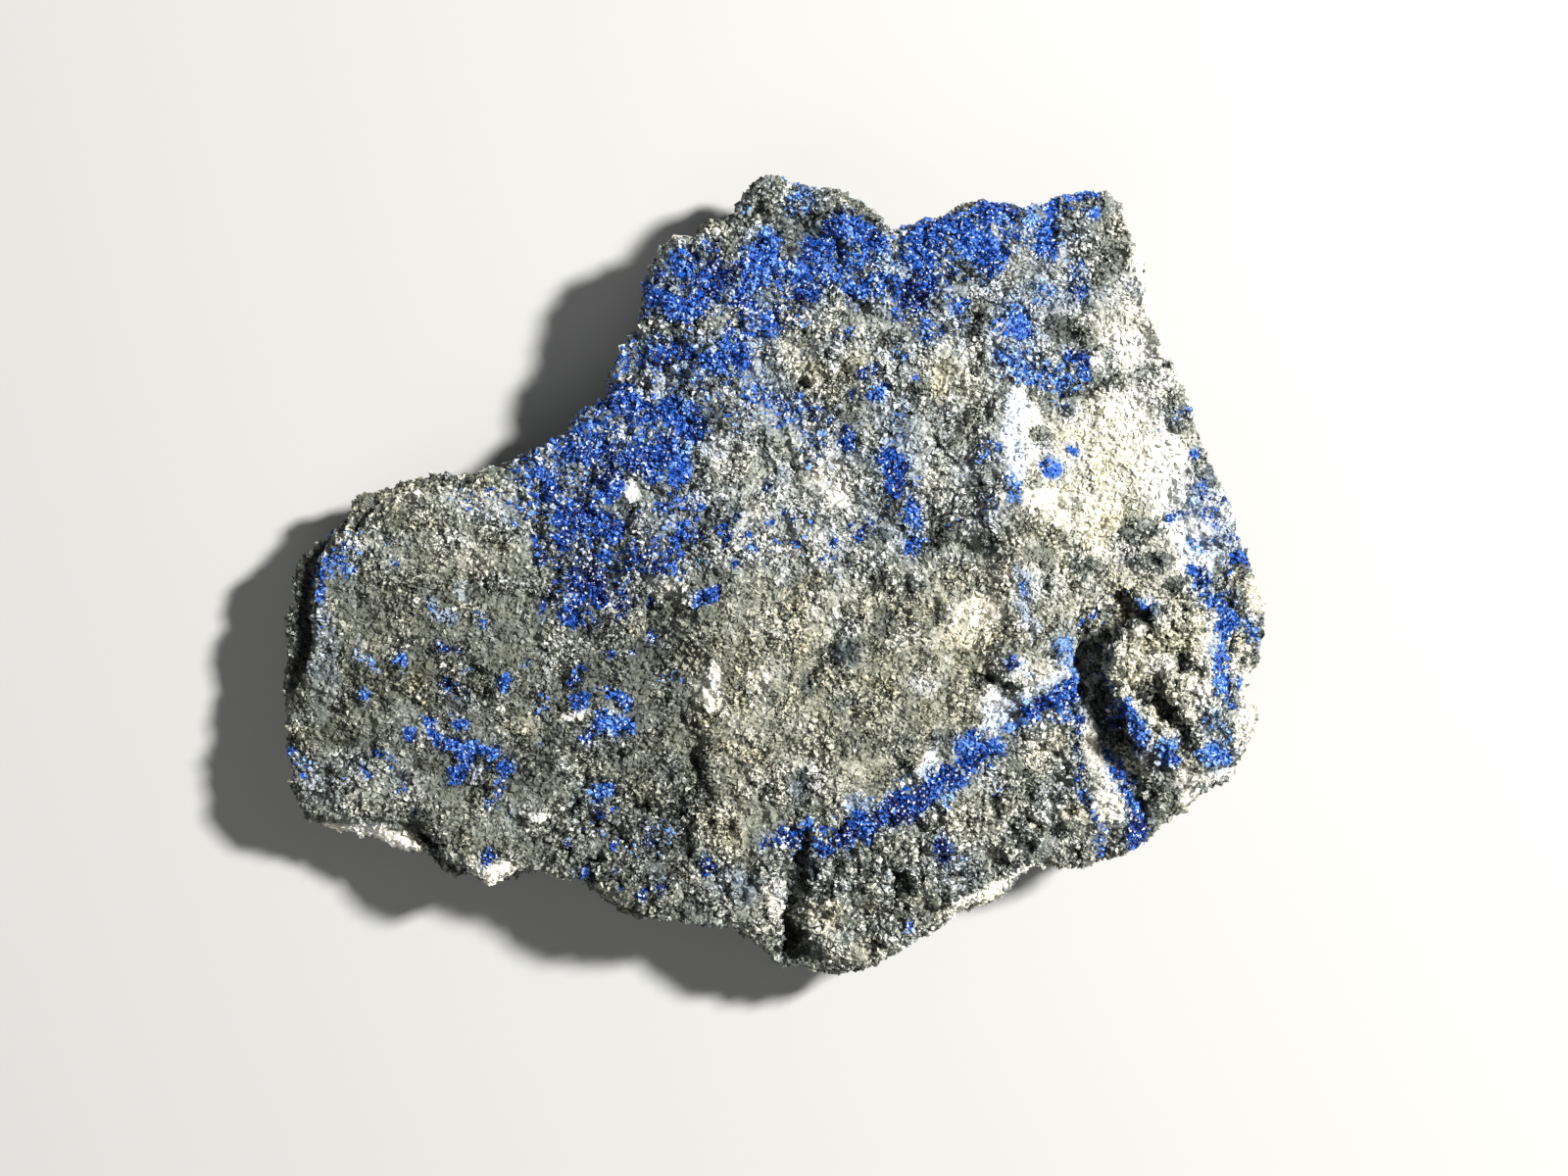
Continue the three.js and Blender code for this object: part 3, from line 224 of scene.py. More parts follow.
# Callaghanite, as strokes: path, half width, share of the grains that are blue, and shade from
# 0 deep navy over 0.5 azure to 1 pale blue. A spot has one place for its path.
BLUE_STROKES = (
    # Broad thin dustings round the dense fields
    (((-16, 6), (-12.6, 9.4), (-8.6, 10.2)), 2.8, 0.44, 0.4), (((-14, 4), (-13.6, -2)), 2, 0.4, 0.2),
    (((-11, 0.6), (-6.8, 1.8), (-6, 5)), 1.5, 0.4, 0.4),
    (((-10.4, 15.4), (-6, 15.6), (-1.6, 14.6)), 1.8, 0.36, 0.4),
    (((-6.6, 13), (-2, 12.4)), 1.3, 0.3, 0.5), (((-1, 12.6), (1.6, 11.4), (3.4, 10.2)), 1.4, 0.32, 0.4),
    (((-7.4, 20.2), (-2.4, 20), (2.6, 21.2)), 2.3, 0.36, 0.3),
    (((-1.4, 18.4), (1.6, 19)), 1.8, 0.28, 0.3),
    (((3.6, 21.6), (7.6, 21.6), (11.6, 22.4)), 2.2, 0.42, 0.5),
    (((13.2, 23.2), (17, 23.8), (19.8, 24.6)), 2.2, 0.3, 0.6),
    (((11, 18.6), (13.6, 18.2)), 1.4, 0.24, 0.5),
    (((17, 18), (17.6, 14.6), (20.6, 13.4)), 1.4, 0.34, 0.6),
    (((9, 11), (9, 7), (10.2, 2.6)), 1.2, 0.24, 0.35), (((-4, 2.4), (2, 1.4), (6, 1.6)), 1.3, 0.16, 0.35),
    (((3, 17), (8, 16)), 1.6, 0.12, 0.3), (((30.6, 6), (31.6, 3.6), (32.4, 1)), 1.3, 0.2, 0.5),
    (((31.4, -9.6), (31.8, -12.8)), 0.9, 0.3, 0.8), (((-31, 2.2), (-31, 0.2)), 1.4, 0.3, 0.8),
    (((-26, -11), (-22.4, -11.6), (-20, -14.4)), 1.3, 0.16, 0.4),
    (((-33, -14), (-27, -14)), 1.2, 0.14, 0.6),
    (((13, -14.4), (16.6, -11.4), (20.4, -9)), 1.1, 0.3, 0.95),
    (((2, -19), (7, -17.6), (11.4, -15.6)), 1.3, 0.26, 0.7), (((14, 5), (16.6, 6.4)), 1, 0.16, 0.4),
    (((-22, 5.2), (-18.6, 5)), 0.9, 0.24, 0.4), (((-12.4, -17.6), (-8, -19)), 1.6, 0.14, 0.3),
    # Spots of the west lobe
    (((-32.35, 0.4), (-32.4, -1.9)), 0.28, 0.97, 0.4), (((-32.2, -2.4), (-32, -4.8)), 0.3, 0.2, 0.8),
    (((-32.2, 0.5), (-31.3, 0.6), (-29.6, 0.5)), 0.4, 0.65, 0.5),
    (((-30.6, 1.8), (-30.8, 0.8)), 0.3, 0.6, 0.6), (((-30.2, 2.2), (-29.7, 2.1)), 0.3, 0.5, 0.5),
    (((-29.5, 3.6), (-29.6, 3)), 0.3, 0.5, 0.5), ((-27.2, 2), 0.5, 0.25, 1),
    ((-27.1, 0.5), 0.3, 0.4, 0.4), ((-24.1, -2.6), 0.5, 0.3, 1),
    (((-29.6, -5.1), (-29.4, -5.9), (-28.6, -6.7)), 0.4, 0.35, 1), ((-26.4, -6.1), 0.48, 1, 0.6),
    ((-26.3, -5.3), 0.7, 0.2, 1), ((-26.1, -7.4), 0.3, 0.4, 0.5),
    (((-23.5, -5.3), (-22.6, -5.6)), 0.3, 0.95, 0.1), ((-21.9, -6.8), 0.4, 0.45, 0.9),
    ((-29.1, -8.9), 0.42, 0.8, 0.6), (((-23.6, -8), (-21.8, -8.8)), 0.5, 0.5, 0),
    ((-22.6, -9.8), 0.5, 0.5, 0.8), ((-22.2, -10.9), 0.45, 1, 0.55), ((-25.9, -11.5), 0.52, 1, 0.5),
    (((-24.4, -11), (-23.8, -12)), 0.4, 0.97, 0.35), (((-23, -12.2), (-21.1, -12.8)), 0.6, 0.97, 0.4),
    (((-20.7, -12.7), (-19.9, -12.9)), 0.45, 1, 0.5), (((-22.6, -14.4), (-21.8, -13.7)), 0.62, 1, 0.4),
    ((-19.1, -13.9), 0.68, 1, 0.5), (((-19.5, -15.3), (-19.9, -16.3)), 0.42, 0.6, 0.45),
    ((-19.1, -7.9), 0.55, 0.95, 0.65), (((-21, -3.3), (-20.1, -3.8)), 0.4, 0.35, 0.5),
    ((-17.6, -6.6), 0.3, 0.5, 0.5), ((-13.6, -6.7), 0.35, 0.7, 0.55), ((-14.1, -7.7), 0.4, 0.8, 0.35),
    ((-11.7, -8.1), 0.3, 0.8, 0.5), ((-12.7, -8.3), 0.25, 0.8, 0.15), ((-16.2, -9.4), 0.7, 0.4, 0.15),
    ((-13.6, -9.2), 0.52, 1, 0.55), (((-11.4, -8.7), (-10.4, -9.2)), 0.46, 1, 0.5),
    (((-11.9, -10.7), (-11.2, -11)), 0.72, 1, 0.55), ((-10.1, -11), 0.55, 0.9, 0.35),
    ((-12.9, -11.8), 0.45, 0.7, 0.3), ((-16.6, -12.2), 0.35, 0.5, 0.15), ((-12.2, -15.7), 0.8, 1, 0.6),
    ((-13.9, -16.3), 0.4, 0.5, 0.2), ((-11.2, -16), 0.3, 0.7, 0.1), ((-12.2, -17.2), 0.42, 0.9, 0),
    ((-12, -18.3), 0.6, 0.3, 1), ((-18.4, -17.4), 0.6, 0.2, 1), ((-11, -19.7), 0.35, 0.8, 0.1),
    ((-11, -21.1), 0.28, 0.7, 0.1), ((-10.8, -22.5), 0.28, 0.7, 0.1), ((-14.4, -19.3), 0.28, 0.95, 0),
    ((-8.6, -18.4), 0.6, 0.4, 0.05), ((-8.8, -19.4), 0.35, 0.7, 0.05), ((-7.7, -18.5), 0.5, 0.4, 0.9),
    ((-7.9, -22.7), 0.3, 1, 0), ((-9.2, -23.2), 0.32, 1, 0.05), ((-33.4, -14), 0.8, 0.4, 0.8),
    ((-34.4, -13), 0.5, 0.5, 0.5), ((-29, -14.2), 0.42, 0.85, 0.2),
    (((-28.2, -12.9), (-27.3, -13.3)), 0.35, 0.5, 0.4), ((-20.1, -20.4), 0.5, 0.75, 0.15),
    ((-13.3, -21.3), 0.45, 0.8, 0.2), ((-14, -21.5), 0.4, 0.4, 1), ((-26.6, -15), 0.7, 0.3, 0.6),
    ((-25.5, -17), 0.35, 0.5, 0.4), ((-7.4, -7.6), 0.6, 0.3, 0.6), ((-8.6, -4.6), 0.42, 0.85, 0.1),
    ((-9.7, -5.6), 0.32, 0.9, 0.35), ((-11.5, -5.8), 0.35, 0.7, 0.05), ((-8.7, -2.1), 0.32, 0.95, 0.1),
    ((-10.9, -3.3), 0.32, 0.8, 0.1), (((-5.4, -2), (-4.8, -1.6), (-4.2, -1.4)), 0.45, 0.95, 0.4),
    ((-21.6, 5.3), 0.7, 0.3, 0.6), ((-20.2, 5.9), 0.35, 0.6, 0.1), ((-17.8, 5.2), 0.6, 0.3, 0.7),
    # Small spots of the pale field beside the dense one
    ((-0.3, 5.8), 0.4, 0.85, 0.1), ((-3.5, 3), 0.38, 0.8, 0.1), ((-1.4, 1.8), 0.35, 0.8, 0.45),
    ((-0.1, 3.4), 0.28, 0.8, 0.3), ((-2.5, 4), 0.28, 0.7, 0.2), ((1.8, 2), 0.35, 0.8, 0.3),
    ((5.4, 3.3), 0.28, 0.8, 0.5), ((6.5, 2.6), 0.33, 0.8, 0.3), ((4.4, 2.4), 0.25, 0.8, 0.1),
    ((-2.5, 0.7), 0.33, 0.8, 0.45), ((1, 4.4), 0.25, 0.7, 0.2), ((-4.6, 1.2), 0.55, 0.3, 1),
    ((2.8, 7.8), 0.45, 0.4, 1), ((3.2, 8.4), 0.28, 0.8, 0.45), ((-2.2, 10.2), 0.55, 0.3, 1),
    ((11.2, 16.8), 0.35, 0.8, 0.4), ((10.2, 13.9), 0.3, 0.6, 0.6), ((6.8, 14.1), 0.4, 0.8, 0.05),
    ((5.7, 12.8), 0.3, 0.9, 0.1),
    # The dense field of the north-west edge, and its tail
    (((-16.6, 7.6), (-14.6, 9.4), (-12.2, 11.4)), 1.1, 0.6, 0.45),
    (((-14, 8.5), (-12.3, 9)), 0.9, 0.93, 0.4), (((-16.1, 6.7), (-15.7, 5.8)), 0.6, 0.85, 0.45),
    (((-10.9, 12.4), (-9.8, 12)), 1, 0.85, 0.4),
    (((-8.6, 11.6), (-6.8, 11.4), (-5.7, 10.4)), 1.1, 0.9, 0.3),
    (((-11.6, 6.8), (-11.2, 8)), 0.9, 0.85, 0.15),
    (((-10, 8.2), (-8.6, 8.3), (-7.4, 8.9)), 1, 0.97, 0.28), ((-8.6, 7.1), 0.7, 0.9, 0.3),
    (((-6.6, 6.6), (-6.3, 8.3)), 0.7, 0.8, 0.5), (((-11.7, 5.5), (-11.2, 6)), 0.6, 0.95, 0.4),
    (((-13.6, 5.8), (-13, 5)), 0.9, 0.55, 0.3),
    (((-15.2, 4.2), (-13.4, 3.8), (-11.6, 3.2)), 1, 0.85, 0.25),
    (((-15.3, 3.2), (-14.9, 2)), 0.6, 0.8, 0.05), (((-14.4, 2.6), (-12.6, 2.4)), 0.8, 0.7, 0.3),
    ((-11.9, 1.2), 0.5, 0.95, 0.4), (((-16.4, 2.2), (-16.3, 0.8)), 0.5, 0.6, 0.4),
    (((-17.4, 6), (-17, 4)), 0.4, 0.5, 0.6),
    (((-14.2, -0.8), (-12.6, -0.4), (-12.2, -2)), 0.8, 0.85, 0.08),
    (((-13.6, -1.9), (-14.2, -2.4)), 0.6, 0.8, 0.2), (((-14.6, -3.3), (-14.2, -3)), 0.5, 0.99, 0.25),
    ((-10.8, -1.8), 0.8, 0.6, 0.08), ((-16.2, -2.4), 0.35, 0.85, 0.15), ((-16.1, -3.4), 0.5, 0.3, 0.8),
    (((-9.6, 0.7), (-8, 0.9), (-6.6, 0.1)), 0.6, 0.6, 0.3), (((-8.6, 1.6), (-7, 1.5)), 0.6, 0.5, 0.4),
    (((-6.6, 2.2), (-6.2, 3.2)), 0.55, 0.93, 0.4), (((-8, 4.6), (-7.2, 4)), 0.4, 0.5, 0.5),
    (((-9.6, 4.3), (-10.3, 4.8)), 0.5, 0.4, 0.15), ((-6, 5.4), 0.6, 0.35, 0.5),
    ((-8.9, 3.4), 0.3, 0.6, 0.1),
    # Patches up the north-west side
    (((-11.4, 15.2), (-10.9, 16)), 0.7, 0.6, 0.7),
    (((-8.8, 15.5), (-7.2, 16), (-6, 15.8)), 0.8, 0.75, 0.25),
    (((-4.3, 15), (-2.4, 15.2), (-3, 16.4)), 0.9, 0.85, 0.35), ((-1.8, 13), 1, 0.5, 0.6),
    ((-5.8, 13.8), 0.8, 0.45, 0.4), (((-0.2, 12.2), (1.2, 11.2), (3.2, 11.3)), 0.8, 0.5, 0.35),
    ((3, 9.7), 1.1, 0.35, 0.9), ((5.6, 9.6), 0.8, 0.65, 0.4),
    # The band along the north edge
    (((-8.6, 20), (-7, 19), (-5.8, 18.5), (-5, 19.6)), 0.8, 0.85, 0.45), ((-6.3, 21.8), 1.2, 0.72, 0.25),
    ((-4, 21), 1.3, 0.9, 0.12), ((-4.3, 23.2), 0.7, 0.55, 0.3),
    (((-1.4, 21.2), (-0.4, 23)), 1.2, 0.82, 0.5), (((-2.2, 19.2), (-0.4, 17.9)), 1, 0.75, 0.3),
    ((-8.8, 18.8), 0.7, 0.5, 0.3), ((-1.8, 25.7), 0.5, 0.3, 1),
    (((0, 21.6), (2.4, 21.2), (4.2, 21.6)), 1.1, 0.7, 0.45), ((2.6, 20), 0.9, 0.85, 0.15),
    (((3.2, 22.8), (4.2, 23.8), (5.3, 24.6), (6.5, 24.2), (7.4, 23.5)), 0.9, 0.93, 0.4),
    (((5.8, 20), (7.5, 20.6), (9.2, 20.3)), 0.9, 0.75, 0.55), ((8.4, 22.3), 1.3, 0.45, 0.95),
    ((6.1, 22.5), 1, 0.7, 0.6), (((10.3, 22.6), (11, 24), (12.2, 24.6)), 1.2, 0.86, 0.35),
    (((10.9, 20.9), (10.2, 19.8)), 1.1, 0.88, 0.12),
    (((13.2, 24.2), (14.4, 23.2), (15.6, 22.5)), 1.2, 0.97, 0.5),
    (((15.4, 25.4), (16.6, 26)), 0.9, 0.97, 0.35), ((14.6, 24.6), 0.7, 0.6, 0.9),
    (((2.5, 26.8), (1.8, 26.2)), 0.9, 0.5, 0.7), (((19.7, 24.5), (19.7, 22.8)), 0.75, 0.95, 0.45),
    ((18.4, 25.3), 0.7, 0.6, 0.85), ((20, 26.1), 0.7, 0.9, 0.35), ((22.9, 25.7), 0.6, 0.75, 0.55),
    (((21, 26.7), (23.2, 27)), 0.35, 0.75, 0.5),
    # Spots of the north field
    ((21.8, 21.7), 0.7, 0.65, 0.7), ((21.8, 20), 0.7, 0.5, 0.4), ((19.5, 19.9), 0.9, 0.45, 0.8),
    (((17.7, 18.4), (17.9, 17.2)), 0.8, 0.8, 0.65), ((13.4, 18.9), 0.7, 0.55, 0.6),
    ((11.1, 17.2), 0.9, 0.4, 0.7), ((9.1, 18.5), 0.6, 0.6, 0.5), ((9, 15.8), 0.7, 0.4, 0.6),
    ((5.3, 17), 0.8, 0.35, 0.2),
    (((16.6, 15.2), (17.4, 14.6), (18.4, 13.7), (20.6, 13.6)), 0.7, 0.6, 0.75),
    (((21, 15.4), (22.3, 15.3)), 0.4, 0.95, 0.15), ((22.3, 13.9), 0.5, 0.9, 0.6),
    ((22.2, 14.6), 0.5, 0.5, 0.1), ((7.6, 14.4), 0.6, 0.45, 0), ((7.7, 12.9), 0.7, 0.85, 0.55),
    (((8.5, 8.4), (9, 7.2), (8.8, 6.1)), 0.8, 0.93, 0.3), ((9.2, 9.9), 0.7, 0.4, 0.3),
    (((10.2, 4.7), (10.2, 3.6)), 0.55, 0.9, 0.4), ((10.3, 2), 0.7, 0.88, 0.35),
    ((7.2, 3.2), 0.8, 0.35, 0.1), ((2.4, 3.4), 1.3, 0.2, 0.7), ((15.3, 8.5), 0.8, 0.4, 0.7),
    ((12.8, 3.8), 0.6, 0.35, 0.15), (((17.5, 5.3), (17.4, 6.6)), 0.5, 0.55, 0.8),
    (((18, -0.8), (18.3, -1.8)), 0.3, 0.5, 0.7), ((19.9, 7.5), 0.6, 0.98, 0.6),
    ((21.6, 8.8), 0.4, 0.85, 0.7),
    # The east rim
    (((30.2, 4.6), (31.6, 3.8), (32.4, 2.6)), 0.6, 0.4, 0.5),
    (((33.2, 1.2), (33.8, 0.8)), 0.35, 0.95, 0.35), ((32.4, 5.3), 0.5, 0.6, 0.4),
    ((30.3, 1.7), 0.6, 0.6, 1), ((30.2, 8.4), 0.35, 0.8, 0.6), ((30.5, 6.1), 0.6, 0.5, 0.5),
    (((28.3, 3.9), (29.4, 4)), 0.25, 0.6, 0.3), (((28.9, 11), (30, 12)), 0.3, 0.4, 0.5),
    (((30.2, 0), (31, -0.7), (31.9, -1.5), (32.5, -1.9)), 0.6, 0.85, 0.4),
    (((32, -2.7), (32.5, -3.6), (32.2, -4.4)), 0.6, 0.88, 0.45),
    (((32, -5), (31.6, -6.6), (32, -8)), 0.55, 0.75, 0.6), ((33.2, -8.2), 0.3, 0.85, 0.55),
    (((33.8, -3.5), (34.3, -4.4), (34.7, -4.8)), 0.35, 0.75, 0.55),
    (((32.2, -8.8), (32.5, -9.4)), 0.35, 0.6, 0.6), (((31, -10.6), (31.2, -9.6)), 0.4, 0.4, 0.5),
    (((31, -12.9), (31.7, -12.6)), 0.7, 0.85, 0.85), ((32.3, -13.3), 0.45, 0.6, 0.6),
    # The main vein, in knots with gaps between them
    (((-0.5, -19.2), (0.5, -18.8)), 0.5, 0.8, 0.15), (((1, -18.8), (2, -18.9)), 0.6, 0.95, 0.1),
    ((2.4, -18.2), 0.45, 0.8, 0.4), (((3.4, -19.3), (3.8, -19.7)), 0.4, 0.7, 0.45),
    ((3.7, -18.1), 0.35, 0.6, 0.8), (((5, -18.8), (5.7, -18.4)), 0.6, 0.97, 0.2),
    (((6.4, -17.6), (7.2, -18.4)), 0.65, 0.97, 0.35), ((7.1, -19), 0.4, 0.9, 0.6),
    (((6, -16.9), (7.4, -16.6)), 0.5, 0.25, 1), (((7.9, -17.5), (8.8, -17.4)), 0.7, 0.99, 0.08),
    (((8.6, -16.3), (9.6, -15.7)), 0.6, 0.97, 0.15), (((9.4, -16.9), (10.6, -16.3)), 0.8, 0.99, 0.1),
    (((11.2, -15.8), (11.7, -14.8)), 0.7, 0.97, 0.3), (((12.4, -15.8), (13, -15.3)), 0.5, 0.6, 0.95),
    (((12.6, -14.4), (13.4, -14.7)), 0.6, 0.95, 0.3), (((13.9, -13.7), (14.9, -13)), 0.6, 0.97, 0.3),
    (((13.8, -12.3), (14.5, -11.7)), 0.55, 0.97, 0.5), (((15.3, -12.5), (16.3, -12.6)), 0.5, 0.95, 0.6),
    (((15.6, -13.6), (16.2, -13.4)), 0.4, 0.3, 1), (((16.9, -11.2), (18, -10.6)), 0.4, 0.75, 0.75),
    (((18.4, -10), (19, -9.6)), 0.4, 0.85, 0.4), (((19.4, -9.4), (19.9, -9)), 0.5, 0.9, 0.15),
    (((20.4, -9), (21.2, -8.8), (22, -8.2)), 0.75, 0.97, 0.4),
    (((22.2, -7.6), (21.8, -6.6)), 0.5, 0.8, 0.6), (((21.3, -6), (20.8, -5.2)), 0.6, 0.5, 1),
    (((22.1, -5), (23.4, -3.6)), 0.3, 0.9, 0.3), (((20.5, -10.2), (21.5, -10)), 0.45, 0.5, 0.7),
    (((26.4, -2.2), (27, -2.4)), 0.3, 0.8, 0.55), ((17.2, -6.5), 0.35, 0.9, 0.05),
    ((18.4, -7.3), 0.25, 0.6, 0.6), ((16.3, -15.7), 0.4, 0.3, 0.5),
    # Veins and spots of the coarse band
    (((21.8, -10.6), (21.6, -12.4), (22, -13.6), (21.9, -15.1), (22.9, -16.9), (23.7, -18.4)),
     0.3, 0.55, 0.25),
    (((25.1, -9.5), (25.8, -10.9), (26.1, -11.8)), 0.45, 0.85, 0.45), ((25.8, -12.5), 0.6, 0.85, 0.12),
    (((24.3, -14.3), (25.3, -15.1), (26, -16.6)), 0.4, 0.8, 0.4),
    (((26.1, -17.6), (26.4, -18.4), (26, -19.2)), 0.6, 0.97, 0.15), ((28.1, -13.2), 0.7, 0.93, 0.25),
    ((28.2, -12.2), 0.5, 0.85, 0.9), (((12.2, -19.4), (12.4, -20.4)), 0.55, 0.95, 0.12),
    ((13.8, -20.4), 0.4, 0.4, 0.9), ((10, -25.3), 0.3, 0.8, 0.6), ((5, -5.6), 1, 0.18, 0.2),
    (((23.4, -19.3), (23.8, -19.8)), 0.35, 0.5, 0.3), (((-5, -20.9), (-4.2, -21.1)), 0.4, 0.6, 0.1),
)

# Where the surface is rougher than elsewhere: east, north, half width, half height, times rougher.
ROUGH_FIELDS = (
    (-24, -6, 12, 12, 0.72), (3, -8, 12, 9, 0.65), (0, 7, 8, 7, 0.85), (24, 8.4, 7, 4.6, 0.35),
    (25.5, 18, 3, 5, 0.25), (27, -7.4, 5.4, 6.4, 1.8), (11, -22, 13, 4.6, 1.6), (21, -15.4, 5, 5, 1.4),
    (2, 26, 6, 3.5, 1.3), (-11, -19, 6, 5.4, 1.5), (-12.5, -14, 5, 3.4, 1.2), (-23, -7.8, 4, 3, 1.1),
    (-14, 0, 5, 4, 1.1), (23.6, -15, 1.2, 3, 0.8), (-10, 5.75, 1, 1.1, 0.3), (-28.4, -19, 3.8, 0.9, 0.3),
    (-20, -21.6, 1.9, 1.3, 0.25), (-8.2, -0.9, 1.3, 1, 0.6),
)

# Cracks and small pits too narrow for the solid: path, half width, depth. Their tone is darkened inside, as
# painted shade.
CRACKS = (
    # The groove round the rough lump, and the lump's own holes
    (((26.4, -2.8), (24.6, -3.3), (23.3, -4.2)), 0.45, 1.2),
    (((23, -4.6), (22.7, -5.6), (22.75, -7), (23.4, -8.8), (24.1, -10.8), (24.7, -12.3)), 0.72, 2.2),
    (((24.2, -13), (24.6, -13.5)), 0.35, 0.9), (((26.4, -8.1), (26.9, -8.9)), 0.3, 0.9),
    (((27.3, -8), (27.6, -9), (28, -10.2)), 0.45, 1.4), (((28.5, -10.8), (28.8, -11.3)), 0.3, 0.8),
    (((29.4, -11), (29.6, -12), (29.3, -12.8)), 0.42, 1.2), (((29.1, -5.9), (29, -6.9)), 0.36, 1.1),
    ((29.9, -6.9), 0.3, 0.7), ((28.5, -7.8), 0.3, 0.8), (((27.6, -3.7), (26.6, -4.1)), 0.25, 0.5),
    (((29.2, -2.3), (29.6, -1.5), (30.6, -0.8)), 0.3, 0.8),
    (((26.5, -12.7), (27.2, -13.4), (28.2, -14.2)), 0.25, 0.6),
    (((26.1, -15.3), (26.5, -17), (26.9, -18.1)), 0.22, 0.5), (((28.8, -15.2), (28.6, -16.2)), 0.25, 0.5),
    # Cracks of the white patch and of the plateau
    (((20.6, 12.4), (22.3, 12.4), (23.2, 13.3), (24.4, 13.9), (25.8, 14.4), (28.4, 14.6)), 0.18, 0.6),
    (((5.3, -2.6), (4.3, -5), (2.6, -7.6)), 0.28, 0.4), (((8.3, -3), (8.2, -4.6)), 0.3, 0.4),
    (((3.6, -5.6), (5.4, -7.6)), 0.22, 0.3), (((14.2, -7.2), (15.4, -7.6), (16.9, -8.2)), 0.36, 0.6),
    (((12, 3.8), (11.6, 2)), 0.5, 0.6), (((9.4, -13.6), (9.9, -14.6)), 0.3, 0.5),
    (((0.3, -2.3), (1, -4)), 0.22, 0.4),
    # The step of the plateau, the gully and the south edge
    (((-6.8, -9.3), (-6.3, -10.6)), 0.22, 0.5),
    (((-5.8, -12.5), (-5, -14.5), (-4.5, -15.6), (-4.9, -17)), 0.26, 0.6),
    (((-5.6, -17.6), (-6, -18.6), (-5.9, -20.4)), 0.3, 0.7),
    (((-3.9, 0.2), (-3.6, -1.9), (-3.8, -3.4)), 0.24, 0.5),
    (((-6, -23.4), (-4.6, -24.1), (-3.2, -24.8)), 0.4, 0.5),
    (((2.3, -19.6), (2.1, -21.6), (2.6, -22.8)), 0.45, 0.9), (((1.5, -22), (1.2, -24.8)), 0.5, 0.8),
    (((1.9, -26.2), (1.6, -27.2)), 0.8, 1), (((9, -21.6), (9, -23)), 0.4, 0.7),
    (((17.4, -17.6), (17.3, -18.8)), 0.4, 0.7), (((18.2, -19.3), (18.6, -19.6)), 0.35, 0.6),
    ((20.3, -18.8), 0.3, 0.6),
    # The west corners
    (((-32, 3.9), (-33.4, 1.6), (-33.8, -1), (-33.5, -4.6), (-34.6, -7.6)), 0.6, 1.7),
    (((-25.7, -18.2), (-24.4, -19.8)), 0.45, 0.8), (((-29.9, 3.4), (-28.4, 5.1)), 0.3, 0.5),
    (((-32.2, -17.9), (-30.2, -18), (-27.8, -17.8), (-26.2, -18.4)), 0.22, 0.4),
    (((-23.6, -7.8), (-22.4, -8.8)), 0.7, 0.5), (((-9.9, -5.4), (-8.2, -5.8)), 0.6, 0.4),
)

# The body stays this far above the floor, and its lowest grains stand on it.
BODY_LIFT = 0.06
# The body's highest knobs are pressed softly below the solid's top from this far under it.
TOP_MARGIN = 0.4
# The body lies below the solid by this share of a grain, and crystals in smooth places lie as deep in it.
SUNK = 0.28

# Tone, warmth and shade where no patch or stroke lies, and how much painted shade darkens the middle of a
# crack.
USUAL_TONE, USUAL_WARMTH, USUAL_SHADE = 0.5, 0.2, 0.4
CRACK_PAINTED_SHADE = 0.85
# Where patches, streaks, blue strokes and the bluish halo round these start to fade and where they end,
# against their half widths.
PATCH_EDGE, STREAK_EDGE, BLUE_EDGE, HALO_EDGE = (0.55, 1.3), (0.6, 1.5), (0.55, 1.6), (0.7, 2.2)
# The zones' ragged edges stray this far, in millimetres, and a finer raggedness has this share of it.
EDGE_WARP, FINE_WARP = 0.45, 0.55
# From the first depth below the face to the second, its zones give way to drifted ones. Those shift east
# and north, and stray by this reach.
DEEP = (1.6, 6)
DRIFT = np.array((4.0, -6.5))
DRIFT_REACH = 9
# The face's height is read over squares of this width.
FACE_CELL = 1.5

# Length in millimetres and seed of each pattern of noise. Each has a seed of its own, so none line up.
PATTERNS = {
    # The ragged edges of the zones, coarse and fine, and their drift below the face
    "edge_east": (1.4, 1), "edge_north": (1.4, 2), "fine_east": (0.49, 20), "fine_north": (0.49, 21),
    "drift_east": (5.5, 12), "drift_north": (5.5, 13),
    # Tone and blue deep in the rock
    "deep_tone": (7, 14), "deep_blue": (3.4, 15),
    # Relief of the body: its knobs, the small ones between them, and its swell, crags and crevices
    "knobs": (1.9, 3), "small_knobs": (0.95, 4), "swell": (4.5, 5), "crags": (3.1, 16), "crevices": (1.7, 17),
    # Pits where grains fell out, and the islands where the rock is smooth
    "round_pits": (1.25, 9), "long_pits": (0.85, 19), "islands": (1.9, 18),
    # Clumps of like crystals, and clouds in the share of blue, in tone, in warmth and in shade
    "clumps": (0.8, 6), "blue": (2.1, 10), "tone": (1.7, 7), "warmth": (2.3, 8), "shade": (1.3, 11),
}

# Heights of the body's relief: the knobs, the small ones, the depth of both and the pits against the fine
# relief, and the swell, the crags, the crevices and the push outwards of craggy sides in millimetres.
KNOBS, SMALL_KNOBS, KNOBS_DOWN, PITS_DOWN = 0.8, 0.6, 0.35, 1.6
SWELL, CRAGS, CREVICES, CRAGS_OUT = 0.22, 0.5, 0.45, 0.1
# How sharply the valleys between knobs are cut.
VALLEY = 2.4

# The upward part of the normal above which a crystal is on the face, and below which it is underneath.
FACE_UP, UNDER_UP = 0.3, -0.5
# Share of the crystals that smooth islands keep, and how much of their choice follows from clumps.
SMOOTH_COVER, CLUMPING = 0.35, 0.28
# Spread of the crystals' widths, and the least and the most against the usual width.
WIDTH_SPREAD, WIDTH_LIMITS = 0.28, (0.5, 1.9)
